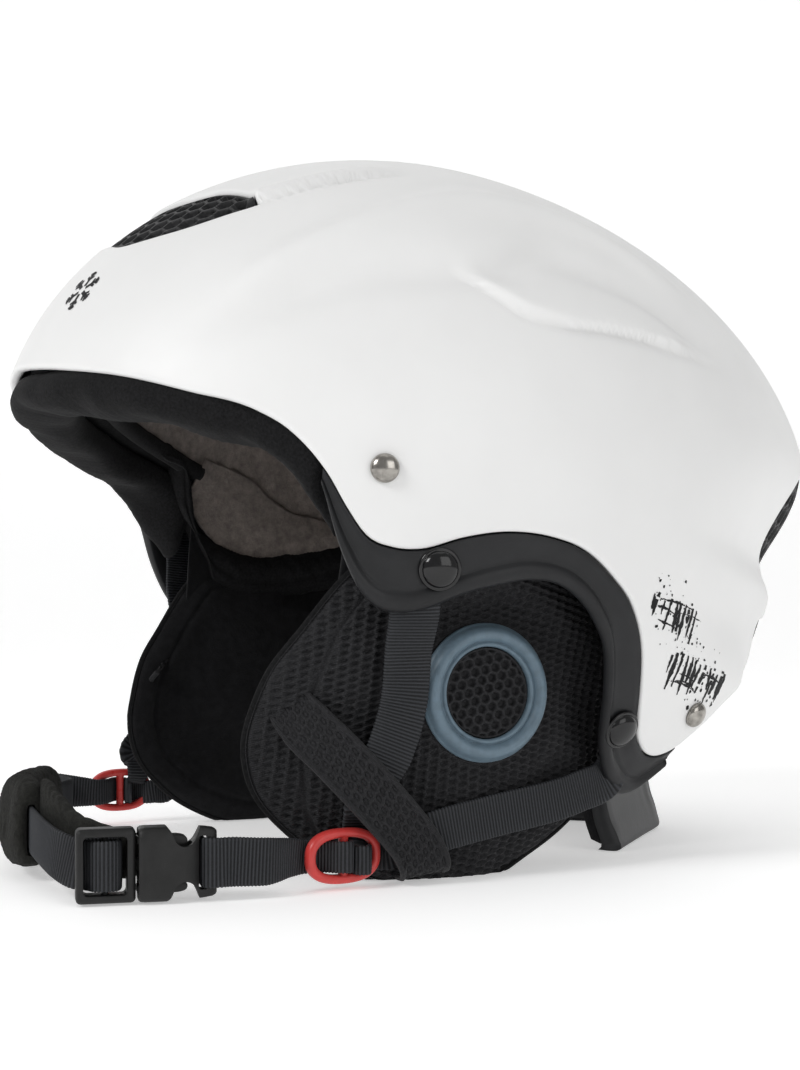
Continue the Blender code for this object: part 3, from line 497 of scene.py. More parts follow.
def mirrored_loop(outline, steps=8):
    half = np.array(outline, float)
    if half[0, 0] == 180:
        loop = [*half, *[(360 - a, u) for a, u in half[-2:0:-1]]]
    else:
        loop = [*half, *[(-a, u) for a, u in half[-2:0:-1]]]
    return smooth_path([*loop, loop[0]], steps)[:-1]


def widened(loop, distance):
    """The loop of (around, up) points moved outwards by this angle."""
    shape = np.array([np.cos(np.radians(np.mean(loop[:, 1]))), 1.0])
    flat = loop * shape
    along = np.roll(flat, -1, axis=0) - np.roll(flat, 1, axis=0)
    across = unit(np.stack([along[:, 1], -along[:, 0]], axis=1))
    if np.sum(across * (flat - flat.mean(axis=0))) < 0:
        across = -across
    return (flat + across * distance) / shape


def build_shell():
    angles = spaced_angles()
    edge = curve_at(SHELL_EDGE, angles)
    rings = []
    for t in np.linspace(0, 1, 171)[1:]:
        rings.append(on_helmet(angles, 90 - t * (89.0 - edge), 0.0))
    lift = np.degrees(1 / 115)
    for out, deep in ((1.5, 0.0), (0.75, 0.12), (0.2, 0.55), (0.0, 1.2), (0.0, 2.0), (0.2, 2.65),
            (0.75, 3.1), (1.5, SHELL_THICK)):
        rings.append(on_helmet(angles, edge + out * lift, deep))
    for t in np.linspace(0.97, 0.04, 24):
        rings.append(on_helmet(angles, 90 - t * (90 - edge), SHELL_THICK))
    shell = skin("fine_outer_shell", rings, MATS["shell_white"], caps=(on_helmet(0, 90, 0),
        on_helmet(0, 90, SHELL_THICK)))
    for outline in (FRONT_VENT, REAR_VENT, LOW_VENT):
        loop = mirrored_loop(outline)
        middle = loop.mean(axis=0)
        layers = []
        for grow, deep in ((1.7, -6), (1.5, -0.5), (0.55, 0.35), (0.3, 1.3), (0.3, 8)):
            layers.append(on_helmet(*widened(loop, grow).T, deep))
        inner = [[on_helmet(*(middle + (widened(loop, 1.7 if deep < 0 else 0.3) - middle) * t).T, deep)
            for t in (0.3, 0.7)]
                 for deep in (-6, 8)]
        rings = [inner[0][0], inner[0][1], *layers, inner[1][1], inner[1][0]]
        cutter = skin("cutter", rings, MATS["shell_white"], caps=(on_helmet(*middle, -6),
            on_helmet(*middle, 8)))
        boolean(shell, cutter)
    put_on(shell)


def hexes(u, v, pitch):
    """How far each point is from its cell's middle, from 0 there to 1 at the nearest wall, in a honeycomb."""
    best = np.full(u.shape, 1e9)
    row = pitch * math.sqrt(3)
    for du, dv in ((0, 0), (pitch / 2, row / 2)):
        a = u - du - pitch * np.round((u - du) / pitch)
        b = v - dv - row * np.round((v - dv) / row)
        d = np.maximum(np.abs(a), 0.5 * np.abs(a) + math.sqrt(3) / 2 * np.abs(b))
        best = np.minimum(best, d)
    return best / (pitch / 2)


def build_grilles():
    for node, outline, pitch in (("front_vent_grille", FRONT_VENT, 6.6), ("rear_upper_vent_grille",
            REAR_VENT, 6.6),
                                 ("rear_lower_vent_grille", LOW_VENT, 5.6)):
        loop = mirrored_loop(outline, 22)
        middle = loop.mean(axis=0)
        scales = np.linspace(0.02, 1.0, 110)
        rings = []
        for t in scales:
            at = middle + (loop - middle) * t
            u = (at[:, 0] - middle[0]) * math.cos(math.radians(middle[1])) * 2.2
            v = (at[:, 1] - middle[1]) * 2.2
            wall = ramp(0.7, 0.84, hexes(u, v, pitch))
            wall = np.maximum(wall, ramp(0.93, 0.97, t))
            rings.append(on_helmet(*at.T, 2.9 - 1.7 * wall))
        for t in (1.0, 0.6, 0.2):
            rings.append(on_helmet(*(middle + (loop - middle) * t).T, 3.3))
        put_on(skin("fine_" + node, rings, MATS["grille_black"],
                    caps=(on_helmet(*middle, 2.7), on_helmet(*middle, 3.3))))


def stamp(name, shapes, depth=-0.09):
    """Printed marks: flat outlines of (around, up) points laid on the shell as one thin skin."""
    points, faces = [], []
    for shape in shapes:
        shape = np.array(shape, float)
        base = len(points)
        points += on_helmet(shape[:, 0], shape[:, 1], depth).tolist()
        faces.append(list(range(base, base + len(shape))))
    mesh = make(name, points, faces, MATS["ink_black"], smooth=False)
    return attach(mesh, "helmet")


def stroke(path, widths, jitter, local):
    """One brush stroke in (around, up), as small ragged quads."""
    path = even(smooth_path(path, 8), 0.35)
    at = np.linspace(0, 1, len(path))
    wide = np.interp(at, np.linspace(0, 1, len(widths)), widths)
    along = unit(np.gradient(path, axis=0))
    across = np.stack([-along[:, 1], along[:, 0]], axis=1)
    left = path + across * (wide / 2 + local.uniform(-jitter, jitter, len(path)))[:, None]
    right = path - across * (wide / 2 + local.uniform(-jitter, jitter, len(path)))[:, None]
    return [np.array([left[k], left[k + 1], right[k + 1], right[k]]) for k in range(len(path) - 1)
            if local.uniform() > 0.03]


def build_marks():
    local = np.random.default_rng(11)
    for side, sign in (("left", 1), ("right", -1)):
        shapes = []

        def brush(path, widths, jitter=0.09):
            shapes.extend(stroke([(sign * a, u) for a, u in path], widths, jitter, local))

        # two ragged rows of upright strokes, scratched across, that fall towards the back
        for first, last, high, low, fall in ((112.2, 123.0, -14.4, -19.8, -0.13),
                (119.6, 135.2, -22.0, -28.0, -0.02)):
            a = first
            while a < last:
                drop = fall * (a - first)
                tall = local.uniform(0.35, 1.0) * (high - low)
                top = high + drop - local.uniform(0, 0.35) * (high - low - tall)
                lean = local.uniform(-0.5, 0.7)
                brush([(a, top), (a + lean * 0.5, top - tall / 2), (a + lean, top - tall)],
                      [local.uniform(0.2, 0.7), local.uniform(0.5, 1.15), local.uniform(0.1, 0.6)], 0.12)
                a += local.uniform(0.75, 1.7)
            for _ in range(4):
                start, reach = local.uniform(first - 0.8, last - 4), local.uniform(3, 8)
                level = local.uniform(low + 1, high - 0.6) + fall * (start - first)
                brush([(start, level), (start + reach / 2, level + local.uniform(-0.3, 0.3)),
                    (start + reach, level - 0.3)],
                      [0.12, local.uniform(0.2, 0.45), 0.1], 0.08)
        for _ in range(150):
            a = local.uniform(112, 134)
            u = -14.6 - 0.6 * (a - 112) + local.normal(0, 2.6)
            if curve_at(SHELL_EDGE, a) + 2 < u < -11.5:
                r = abs(local.normal(0.05, 0.12)) + 0.03
                turns = np.radians(np.arange(7) * 360 / 7)
                r = r * local.uniform(0.6, 1.3, 7)
                shapes.append(np.stack([sign * a + r * np.cos(turns), u + r * np.sin(turns)], axis=1))
        stamp(f"side_mark_{side}", shapes)
    # a small six-armed snow mark on the brow
    shapes = []
    for arm in range(6):
        t = math.radians(arm * 60 + 30)
        way = np.array([math.cos(t), math.sin(t)])
        off = np.array([-way[1], way[0]])

        def line(p, q, wide):
            p, q = np.array(p), np.array(q)
            n = unit(np.array([-(q - p)[1], (q - p)[0]])) * wide / 2
            shapes.append(np.array([p + n, q + n, q - n, p - n]) + [12.4, 18.4])

        line(way * 0.7, way * 3.3, 0.62)
        for reach, size in ((1.7, 1.0), (2.5, 0.8)):
            line(way * reach, way * (reach + size * 0.7) + off * size * 0.8, 0.42)
            line(way * reach, way * (reach + size * 0.7) - off * size * 0.8, 0.42)
    stamp("brow_mark", shapes)


# ------------------------------------------------------------------ trims, rivets and snaps
def build_trims():
    a = np.linspace(TRIM_START, TRIM_STOP, 150)
    for side, sign in (("left", 1), ("right", -1)):
        high, low = curve_at(SHELL_EDGE, a) - 0.25, curve_at(TRIM_EDGE, a)
        tall = high - low
        border = np.minimum(3.2, tall * 0.45)
        rings = []
        # from the shell's edge down over a dished field, a groove and the rounded border, then back up
        for share, drop in ((0, 0.75), (0.03, 0.55), (0.3, 0.85), (0.62, 1.25), (0.86, 1.35), (0.95, 1.2)):
            rings.append(on_helmet(sign * a, high - (tall - border) * share, drop * ramp(0, 5, tall) + 0.5
                * (1 - ramp(0, 5, tall))))
        for share, drop in ((0.0, 1.55), (0.06, 1.5), (0.14, 0.85), (0.3, 0.3), (0.5, 0.12), (0.68, 0.3),
                (0.84, 0.9), (0.95, 1.7),
                            (1.0, 2.3), (0.95, 3.0), (0.8, 3.4)):
            rings.append(on_helmet(sign * a, low + border * (1 - share), drop))
        for share in (0.5, 0.0):
            rings.append(on_helmet(sign * a, low + border + (tall - border) * (1 - share), 3.4))
        rings = np.swapaxes(np.array(rings), 0, 1)
        put_on(skin(f"fine_lower_trim_{side}", rings, MATS["trim_black"]))


def dome(name, around, up, radius, height, slot, base, rim=0.0):
    """A domed head with a rolled rim and a short shank."""
    normal = helmet_normal(around, up)
    seat = on_helmet(around, up, base) + normal * 0.2
    side = unit(np.cross(normal, (0, 0, 1)))
    other = np.cross(normal, side)
    turns = np.radians(np.arange(48) * 7.5)
    circle = side * np.cos(turns)[:, None] + other * np.sin(turns)[:, None]
    profile = [(math.sin(t), math.cos(t)) for t in np.radians(np.arange(8, 84, 8))]
    rings = [seat + normal * (0.5 + (height - 0.5) * h) + circle * (radius - rim) * r for r, h in profile]
    if rim:
        rings += [seat + normal * h + circle * r for r, h in
                  ((radius - rim, 0.45), (radius - rim * 0.6, 0.75), (radius - rim * 0.2, 0.6),
                  (radius, 0.3), (radius, 0.0))]
    else:
        rings += [seat + normal * 0.4 + circle * radius, seat + circle * radius * 0.99]
    rings += [seat + circle * 1.7, seat - normal * 2.5 + circle * 1.7]
    made = skin("fine_" + name, rings, MATS[slot], caps=(seat + normal * height, seat - normal * 2.6))
    return put_on(made)


def build_studs():
    for side, sign in (("left", 1), ("right", -1)):
        for end, (a, u) in (("front", FRONT_RIVET), ("rear", REAR_RIVET)):
            dome(f"strap_rivet_{end}_{side}", sign * a, u, RIVET_R, 2.7, "chrome", 0.0)
        for end, (a, u) in (("front", FRONT_SNAP), ("rear", REAR_SNAP)):
            dome(f"snap_cap_{end}_{side}", sign * a, u, SNAP_R, 2.9, "snap_black", 0.9, rim=0.9)


# ------------------------------------------------------------------ cloth that is blown up from inside
def swelling(rings, ends, sewn, cap, voxel=4.5, pressure=4.0):
    """How far a padded form swells, as offsets for points: its skin is run as cloth under pressure, held
    where it is sewn down, and no point moves further than the cap."""
    scene = bpy.context.scene
    form = skin("swelling", rings, MATS["mesh_black"], caps=ends)
    remesh = form.modifiers.new("even", "REMESH")
    remesh.mode, remesh.voxel_size = "VOXEL", voxel * MM
    apply_all(form)
    rest = np.array([v.co for v in form.data.vertices]) / MM - SHIFT
    held = form.vertex_groups.new(name="sewn")
    held.add([int(k) for k in np.nonzero(sewn(rest))[0]], 1.0, "REPLACE")
    cloth = form.modifiers.new("cloth", "CLOTH")
    settings = cloth.settings
    settings.quality, settings.mass = 6, 0.2
    settings.tension_stiffness = settings.compression_stiffness = 12
    settings.shear_stiffness, settings.bending_stiffness = 4, 0.4
    settings.use_pressure, settings.uniform_pressure_force = True, pressure
    settings.shrink_min = -0.06
    settings.vertex_group_mass = "sewn"
    settings.effector_weights.gravity = 0
    cloth.collision_settings.use_self_collision = False
    cloth.point_cache.frame_start, cloth.point_cache.frame_end = 1, CLOTH_FRAMES
    for at in range(1, CLOTH_FRAMES + 1):
        scene.frame_set(at)
    graph = bpy.context.evaluated_depsgraph_get()
    blown = form.evaluated_get(graph).to_mesh()
    moved = np.array([v.co for v in blown.vertices]) / MM - SHIFT - rest
    form.evaluated_get(graph).to_mesh_clear()
    bpy.data.objects.remove(form, do_unlink=True)
    scene.frame_set(1)
    far = np.linalg.norm(moved, axis=1, keepdims=True)
    moved *= cap * np.tanh(far / cap) / np.maximum(far, 1e-9)
    tree = KDTree(len(rest))
    for k, p in enumerate(rest):
        tree.insert(p, k)
    tree.balance()

    def offsets(points):
        flat = points.reshape(-1, 3)
        out = np.zeros(flat.shape)
        for k, p in enumerate(flat):
            found = tree.find_n(p, 14)
            share = np.array([math.exp(-((d / voxel / 1.4) ** 2)) for _, _, d in found]) + 1e-9
            out[k] = share @ moved[[i for _, i, _ in found]] / share.sum()
        return out.reshape(points.shape)

    return offsets


# ------------------------------------------------------------------ linings
def bowl(name, edge_points, lift, depth, slot, rows, fluff):
    angles = np.arange(0, 360, 1.5)
    edge = curve_at(edge_points, angles) + lift
    rings = []
    for t in np.linspace(0.03, 1, rows):
        at = on_helmet(angles, 90 - t * (90 - edge), depth[0])
        rings.append(at)
    middle = (depth[0] + depth[1]) / 2
    rings.append(on_helmet(angles, edge - 0.8, middle))
    for t in np.linspace(1, 0.03, rows):
        deep = depth[1] - fluff * 0.5
        at = on_helmet(angles, 90 - t * (90 - edge), deep)
        rings.append(at + unit(at - CENTRE) * (fluff * wobble(at, 9, 3) + 0.35 * fluff * wobble(at, 2.5,
            5))[:, None])
    return put_on(skin("fine_" + name, rings, MATS[slot], caps=(on_helmet(0, 90, depth[0]),
        on_helmet(0, 90, depth[1]))))


def tube(name, path, radius, material, sides=12, closed=False):
    """A round cord or piping along the path."""
    tangents = unit(np.gradient(path, axis=0)) if not closed else unit(np.roll(path, -1, axis=0)
        - np.roll(path, 1, axis=0))
    up = np.broadcast_to(np.array([0, 0, 1.0]), tangents.shape)
    side = unit(np.cross(tangents, up))
    other = np.cross(side, tangents)
    turns = np.radians(np.arange(sides) * 360 / sides)
    rings = path[:, None] + radius * (side[:, None] * np.cos(turns)[:, None] + other[:, None]
        * np.sin(turns)[:, None])
    length = np.concatenate([[0], np.cumsum(np.linalg.norm(np.diff(path, axis=0), axis=1))])
    uv = np.stack(np.broadcast_arrays(length[:, None], (turns * radius)[None]), axis=-1)
    return skin(name, rings, material, closed=closed, uv=uv)


def build_linings():
    bowl("eps_liner", FOAM_EDGE, 0, FOAM_DEPTH, "foam_dark", 26, 0.0)
    bowl("comfort_liner", FOAM_EDGE, 1.2, FLEECE_DEPTH, "fleece_taupe", 60, 0.5)
    # rolled binding round the comfort liner's edge
    for end, first, last in (("front", -55, 55), ("rear", 112, 248)):
        a = np.arange(first, last + 0.5, 1.0)
        path = on_helmet(a, curve_at(FOAM_EDGE, a) + 1.0, 30.2)
        made = tube(f"liner_binding_{end}", path, 3.1, MATS["knit_black"])
        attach(made, "helmet")

    # on each side the comfort liner hangs lower, down to a soft fold of knit over the top of the ear pad
    for side, sign in (("left", 1), ("right", -1)):
        front = np.array([34.0, 41.0, 48.0])
        fold = even(smooth_path([*on_helmet(front, curve_at(FOAM_EDGE, front) + 1.5, 29.5), (72, -60, 114),
            (76, -54.5, 103), (77.6, -46, 94),
                                 (77.8, -34, 89.4), (77.6, -21, 89.6), (77.8, -8, 91.8), (78.6, 4, 94.5),
                                 (79.4, 15, 97.5), (80.2, 26, 100)],
                                12), 0.7)
        hem = even(smooth_path([(67, -58, 121), (72, -56, 112), (75.4, -49, 103.5), (76, -41, 97.5),
            (75.6, -30, 95), (75, -18, 95.6),
                                (75, -6, 98), (75.6, 6, 101), (76.4, 17, 104), (77, 26, 106)], 12), 0.9)
        a = np.linspace(55, 116, len(hem))
        top = on_helmet(a, curve_at(FOAM_EDGE, a) + 5, 31.8)
        rows = []
        for t, thick in [*[(t, 0.0) for t in np.linspace(0, 1, 26)],
                *[(t, 1.6) for t in np.linspace(1, 0, 8)]]:
            p = top + (hem - top) * t
            p[:, 0] += thick - (thick == 0) * (1.2 * math.sin(math.pi * t) + 0.35 * wobble(p, 12, 51))
            rows.append(p * [sign, 1, 1])
        lining = skin(f"side_lining_{side}", np.swapaxes(np.array(rows), 0, 1), MATS["fleece_taupe"])
        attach(lining, "helmet")

        turns = np.radians(np.arange(0, 360, 7.5))
        along = unit(np.gradient(fold, axis=0))
        length = np.arange(len(fold)) * 0.7
        rings, uvs = [], []
        full = np.minimum(np.interp(length, [0, 8, 45], [0.3, 0.42, 1]), 0.55 + 0.45
            * np.sqrt(np.clip(length[::-1] / 12, 0, 1)))
        for t in turns:
            c, d = math.cos(t), math.sin(t)
            p = fold + np.outer(full * 8.4 * d, [0, 0, 1]) + np.outer(full * 5.6 * c, [1, 0, 0]) \
                + np.outer(full * 5.5 * (1 - ramp(104, 92, fold[:, 2])) * d, [0, -1, 0])
            crease = 0.9 * np.exp(-(((math.degrees(t) - 195) / 12) ** 2)) + 0.5 * np.exp(-(((math.degrees(t)
                - 228) / 9) ** 2))
            rib = 0.14 * np.cos(length * 2 * math.pi / 1.5)
            puff = 0.6 * wobble(p, 17, 52) + 0.25 * wobble(p, 6, 53) + rib - crease
            rings.append((p + unit(p - fold) * puff[:, None]) * [sign, 1, 1])
            uvs.append(np.stack([length, np.full(len(fold), t * 7.0)], axis=-1))
        roll = skin(f"side_fold_{side}", np.swapaxes(np.array(rings), 0, 1), MATS["knit_black"],
            uv=np.swapaxes(np.array(uvs), 0, 1))
        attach(roll, "helmet")

    a = np.linspace(-BROW_STOP, BROW_STOP, 190)
    high, low = curve_at(FOAM_EDGE, a) - 0.3, curve_at(BROW_EDGE, a)
    turns = np.radians(np.linspace(90, 450, 45)[:-1])
    plain = []
    end = ramp(0, 4.0, BROW_STOP - np.abs(a))
    for t in turns:
        c, s = math.cos(t), math.sin(t)
        # a soft D: flat along the top where it meets the foam, round below
        deep = 13.5 + 10.9 * squared(c, 0.72) * (0.6 + 0.4 * end)
        rise = (high + low) / 2 + (high - low) / 2 * np.sign(s) * abs(s) ** (0.55 if s > 0 else 0.9)
        at = on_helmet(a, rise, deep)
        plain.append(at)
    plain = np.swapaxes(np.array(plain), 0, 1)
    tops = np.array([r[0] for r in plain])
    swell = swelling(plain, (plain[0].mean(axis=0), plain[-1].mean(axis=0)),
                     lambda p: np.min(np.linalg.norm(p[:, None] - tops[None, ::3], axis=2), axis=1) < 9.5,
                     2.2, 4.5)
    if swell:
        plain = plain + swell(plain)
    # fine ribs of the knit run across the roll
    lean = np.maximum(0, -np.sin(turns))[None, :, None]
    rib = 0.13 * np.sin(a * 2.05 * 2 * math.pi / 3.1)[:, None, None]
    hub = plain.mean(axis=1, keepdims=True)
    rings = plain + unit(plain - hub) * (rib * lean + 0.25 * wobble(plain, 26, 8)[..., None]
        * (0.2 + 0.8 * lean))
    length = a * 2.0
    uv = np.stack(np.broadcast_arrays(length[:, None], np.degrees(turns)[None] * 0.18), axis=-1)
    brow = put_on(skin("fine_brow_band", rings, MATS["knit_black"], uv=uv))


# ------------------------------------------------------------------ ear pads
def pad_middle(y, z):
    rise = np.where(z > 45, 0.19 * (z - 45), 0.04 * (z - 45))
    return 75 + rise - 0.003 * (y + 20) ** 2


def pad_outline():
    return even(smooth_path([*PAD_OUTLINE, PAD_OUTLINE[0]], 8)[:-1], 0.85, closed=True)


def pad_surface(at, scale, outer, sign):
    """Points of one face of a pad at (y, z) rows, scale being how far out to the rim they lie."""
    y, z = at[..., 0], at[..., 1]
    swell = np.sqrt(np.clip(1 - scale**3.2, 0, None))
    x = pad_middle(y, z)
    if outer:
        x = x + 0.15 + PAD_OUT * swell
        reach = np.hypot(y - RING_CENTRE[0], z - RING_CENTRE[1])
        x = x + (RING_SEAT_X - 0.7 - x) * ramp(34, 25, reach)
    else:
        x = x - 0.15 - PAD_IN * swell
    return np.stack([sign * x, y, np.maximum(z, 0.0)], axis=-1)


def pad_seam(y, z):
    """How far behind the sewn front roll of the ear pad a point lies."""
    return y - np.interp(z, [0, 20, 45, 70, 92], [-56, -66.5, -69, -60, -45])


def build_ear_pads():
    loop = pad_outline()
    scales = 1 - (1 - np.linspace(0.0, 1.0, 112)[1:-1]) ** 1.35
    flats = np.array([PAD_CENTRE + (loop - PAD_CENTRE) * s for s in scales])
    y, z = flats[..., 0], flats[..., 1]
    spread = np.broadcast_to(scales[:, None], y.shape)
    from_ring = np.hypot(y - RING_CENTRE[0], z - RING_CENTRE[1])

    def half(outer):
        shape = np.array([pad_surface(f, s, outer, 1) for f, s in zip(flats, scales)])
        back = shape[::6].copy()
        back[..., 0] = pad_middle(shape[::6, :, 1], shape[::6, :, 2]) + (0.15 if outer else -0.15)
        closed = np.concatenate([shape[::4], back[::-1]])
        middle = np.array([pad_middle(*PAD_CENTRE), *PAD_CENTRE])
        ends = (pad_surface(PAD_CENTRE, 0.0, outer, 1), middle)

        def sewn(p):
            reach = np.min(np.linalg.norm(p[:, None, 1:] - loop[None, ::6], axis=2), axis=1)
            hold = (reach < 4.5) | (np.abs(p[:, 0] - pad_middle(p[:, 1], p[:, 2])) < 1.6)
            if outer:
                hold |= np.hypot(p[:, 1] - RING_CENTRE[0], p[:, 2] - RING_CENTRE[1]) < RING_R + 4
                hold |= np.abs(pad_seam(p[:, 1], p[:, 2])) < 2.4
            return hold

        swell = swelling(closed, ends, sewn, 3.2 if outer else 4.0)
        return shape + swell(shape) if swell else shape

    outers, inners = half(True), half(False)
    across = np.roll(outers, -1, axis=1) - np.roll(outers, 1, axis=1)
    outwards = unit(np.cross(across, np.gradient(outers, axis=0)))
    outwards *= np.sign(np.sum(outwards[..., 0]))
    for side, sign in (("left", 1), ("right", -1)):
        # open cells of the spacer mesh, leaning with the knit, and the seam that sews on the front roll
        u, v = y * 0.93 + z * 0.36, -y * 0.36 + z * 0.93
        lean = u + 0.45 * v
        dent = 1.3 * ramp(0.84, 0.42, hexes(lean, v * 1.62, 3.5))
        off = pad_seam(y, z)
        groove = 1.3 * np.exp(-(off / 0.8) ** 2)
        keep = ramp(1.0, 0.965, spread) * ramp(RING_R + 0.2, RING_R + 1.5, from_ring)
        p = outers.copy()
        soft = 0.22 * wobble(p, 30, 21 + sign) + 0.1 * wobble(p, 9, 22)
        p = p - outwards * (keep * (dent * ramp(0.4, 1.8, np.abs(off)) + groove - soft))[..., None]
        p[..., 0] *= sign
        uvs = [np.stack([a, b], axis=-1) for a, b in zip(lean, v)]
        rings = list(p)
        for grow, x_off in ((1.0, 1.5), (1.004, 0.8), (1.0, 0.1), (0.9, 0.1), (0.5, 0.1), (0.1, 0.1)):
            at = PAD_CENTRE + (loop - PAD_CENTRE) * grow
            rings.append(np.stack([sign * (pad_middle(*at.T) + 0.15 + x_off), at[:, 0],
                np.maximum(at[:, 1], 0)], axis=-1))
            uvs.append(at)
        start = rings[0].mean(axis=0)
        stop = np.array([sign * (pad_middle(*PAD_CENTRE) + 0.25), *PAD_CENTRE])
        pad = put_on(skin(f"fine_ear_pad_{side}", rings, MATS["mesh_black"], caps=(start, stop), uv=uvs))

        p = inners.copy()
        quilt = 0.9 * np.exp(-(((spread - 0.84) / 0.018) ** 2))
        p[..., 0] += quilt + (0.3 * wobble(p, 24, 31 + sign) + 0.12 * wobble(p, 6, 32)) * ramp(1.0, 0.95,
            spread)
        p[..., 0] *= sign
        rings = list(p[::2])
        for grow, x_off in ((1.0, -1.5), (1.004, -0.8), (1.0, -0.1), (0.6, -0.1), (0.1, -0.1)):
            at = PAD_CENTRE + (loop - PAD_CENTRE) * grow
            rings.append(np.stack([sign * (pad_middle(*at.T) - 0.15 + x_off), at[:, 0],
                np.maximum(at[:, 1], 0)], axis=-1))
        stop = np.array([sign * (pad_middle(*PAD_CENTRE) - 0.25), *PAD_CENTRE])
        lining = skin(f"fine_ear_pad_lining_{side}", rings, MATS["fleece_black"],
            caps=(rings[0].mean(axis=0), stop))
        put_on(lining)

        # piping where the two halves are sewn together
        path = np.stack([sign * pad_middle(*loop.T), loop[:, 0], np.maximum(loop[:, 1], 1.2)], axis=-1)
        piping = tube(f"pad_piping_{side}", path, 1.15, MATS["knit_black"], sides=10, closed=True)
        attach(piping, "helmet")

        # the cloth that hangs the pad from the liner's edge
        a = np.linspace(58, 128, 90)
        top = on_helmet(sign * a, curve_at(FOAM_EDGE, a) + 2.5, 24.6)
        ys = np.interp(a, [58, 128], [-58, 22])
        low = np.stack([sign * (pad_middle(ys, 82.0) - 4.5), ys, np.full(90, 80.0)], axis=-1)
        rings = [top + (low - top) * t + np.array([sign, 0, 0]) * (k + 2.2 * math.sin(math.pi * t))
                 for t, k in [*[(t, 0.0) for t in np.linspace(0, 1, 14)],
                 *[(t, 1.2) for t in np.linspace(1, 0, 14)]]]
        made = skin(f"pad_hanger_{side}", np.swapaxes(np.array(rings), 0, 1), MATS["fleece_black"])
        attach(made, "helmet")

        build_ring(side, sign)


def build_ring(side, sign):
    turns = np.radians(np.arange(180) * 2)
    r, q, h = RING_R, RING_HOLE_R, RING_HEIGHT
    profile = [(r, 0), (r, 0.5), (r - 0.35, 1.0), (r - 0.5, 1.15), (r - 0.7, 1.5), (r - 1.0, 2.4),
        (r - 1.5, 3.3), (r - 2.2, 4.0), (r - 3.0, h),
               (r - 3.8, 4.2), (r - 4.5, 3.6), (r - 4.9, 2.9), (r - 5.1, 2.4), (q + 1.45, 2.2),
               (q + 1.25, 2.6), (q + 0.8, 3.0), (q + 0.35, 2.8),
               (q + 0.05, 2.3), (q, 1.5), (q, 0)]
    rings = [np.stack([np.full(180, sign * (RING_SEAT_X + x)), RING_CENTRE[0] + rad * np.cos(turns),
                       RING_CENTRE[1] + rad * np.sin(turns)], axis=-1) for rad, x in profile]
    put_on(skin(f"fine_ear_ring_{side}", rings, MATS["ring_grey"], closed=True))

    rings = []
    for rad in np.linspace(0.3, q - 0.3, 60):
        y, z = RING_CENTRE[0] + rad * np.cos(turns), RING_CENTRE[1] + rad * np.sin(turns)
        u, v = y * 0.97 + z * 0.2, -y * 0.2 + z * 0.97
        cell = hexes(u, v * 1.05, 3.2)
        x = RING_SEAT_X + 1.6 - 1.5 * ramp(0.82, 0.5, cell) * (rad < q - 0.9)
        rings.append(np.stack([sign * x, y, z], axis=-1))
    rings.append(np.stack([np.full(180, sign * RING_SEAT_X), RING_CENTRE[0] + (q - 0.3) * np.cos(turns),
                           RING_CENTRE[1] + (q - 0.3) * np.sin(turns)], axis=-1))
    middle = np.array([RING_SEAT_X, *RING_CENTRE])
    put_on(skin(f"fine_ear_mesh_{side}", rings, MATS["mesh_black"],
                caps=((middle + [1.4, 0, 0]) * [sign, 1, 1], middle * [sign, 1, 1])))


# ------------------------------------------------------------------ nape pad
def build_nape():
    half = [(0, 92.5), (7, 91.3), (13, 87.5), (23, 77.5), (34, 66.5), (45, 55.5), (54, 46.5)]
    line = smooth_path([*[(-x, y) for x, y in half[:0:-1]], *half], 14)
    along = np.gradient(line, axis=0)
    outs = unit(np.stack([-along[:, 1], along[:, 0], np.zeros(len(along))], axis=1))
    outs[outs[:, 1] < 0] *= -1
    outer = smooth_path([(0.0, -4.6), (0.0, -2.4), (0.5, -1.0), (2.0, -0.2), (8.0, -1.8), (15.0, -4.0),
        (30.0, -5.9), (46.0, -5.4),
                         (53.0, -5.9), (55.5, -7.4)], 4)
    inner = smooth_path([(55.5, -8.2), (54.0, -9.0), (30, -6.0), (15, -4.6), (3, -2.0), (0.3, -3.0)], 4)
    cover, lining = [], []
    for (x, y), out in zip(line, outs):
        taper = 1 - 0.35 * ramp(35, 56, abs(x))
        top = (55.5 - 12 * ramp(20, 56, abs(x))) / 55.5
        round_end = ramp(58, 50, abs(x)) * 0.25 + 0.75
        at = np.array([x, y, 0.0])
        crease = 0.25 * math.sin(x * 0.9) * ramp(30, 5, abs(x))
        ring = [at + out * (n + crease * ramp(2, 14, z) - 0.35 * math.exp(-((z - 5.2) / 0.5) ** 2))
            + [0, 0, z * top * round_end]
                for z, n in outer]
        ring += [at + out * (max(n - 7.0 * taper, -14)) + [0, 0, max(z, 0) * top * round_end] for z,
            n in inner[6:]]
        cover.append(ring)
        face = smooth_path([(3, -2.0), (15, -4.6), (30, -6.0), (54.0, -6.0)], 4)
        back = smooth_path([(52, -6.0), (30, -6.0), (15, -4.6), (5, -2.4)], 4)
        lining.append([at + out * (n - 7.3 * taper) + [0, 0, z * top * round_end] for z, n in face]
                      + [at + out * (n - 11.5 * taper) + [0, 0, z * top * round_end] for z, n in back])
    cover = np.array(cover)
    nape = put_on(skin("fine_nape_pad", cover, MATS["nape_grey"]))
    lining = put_on(skin("fine_nape_pad_lining", np.array(lining), MATS["fleece_black"]))


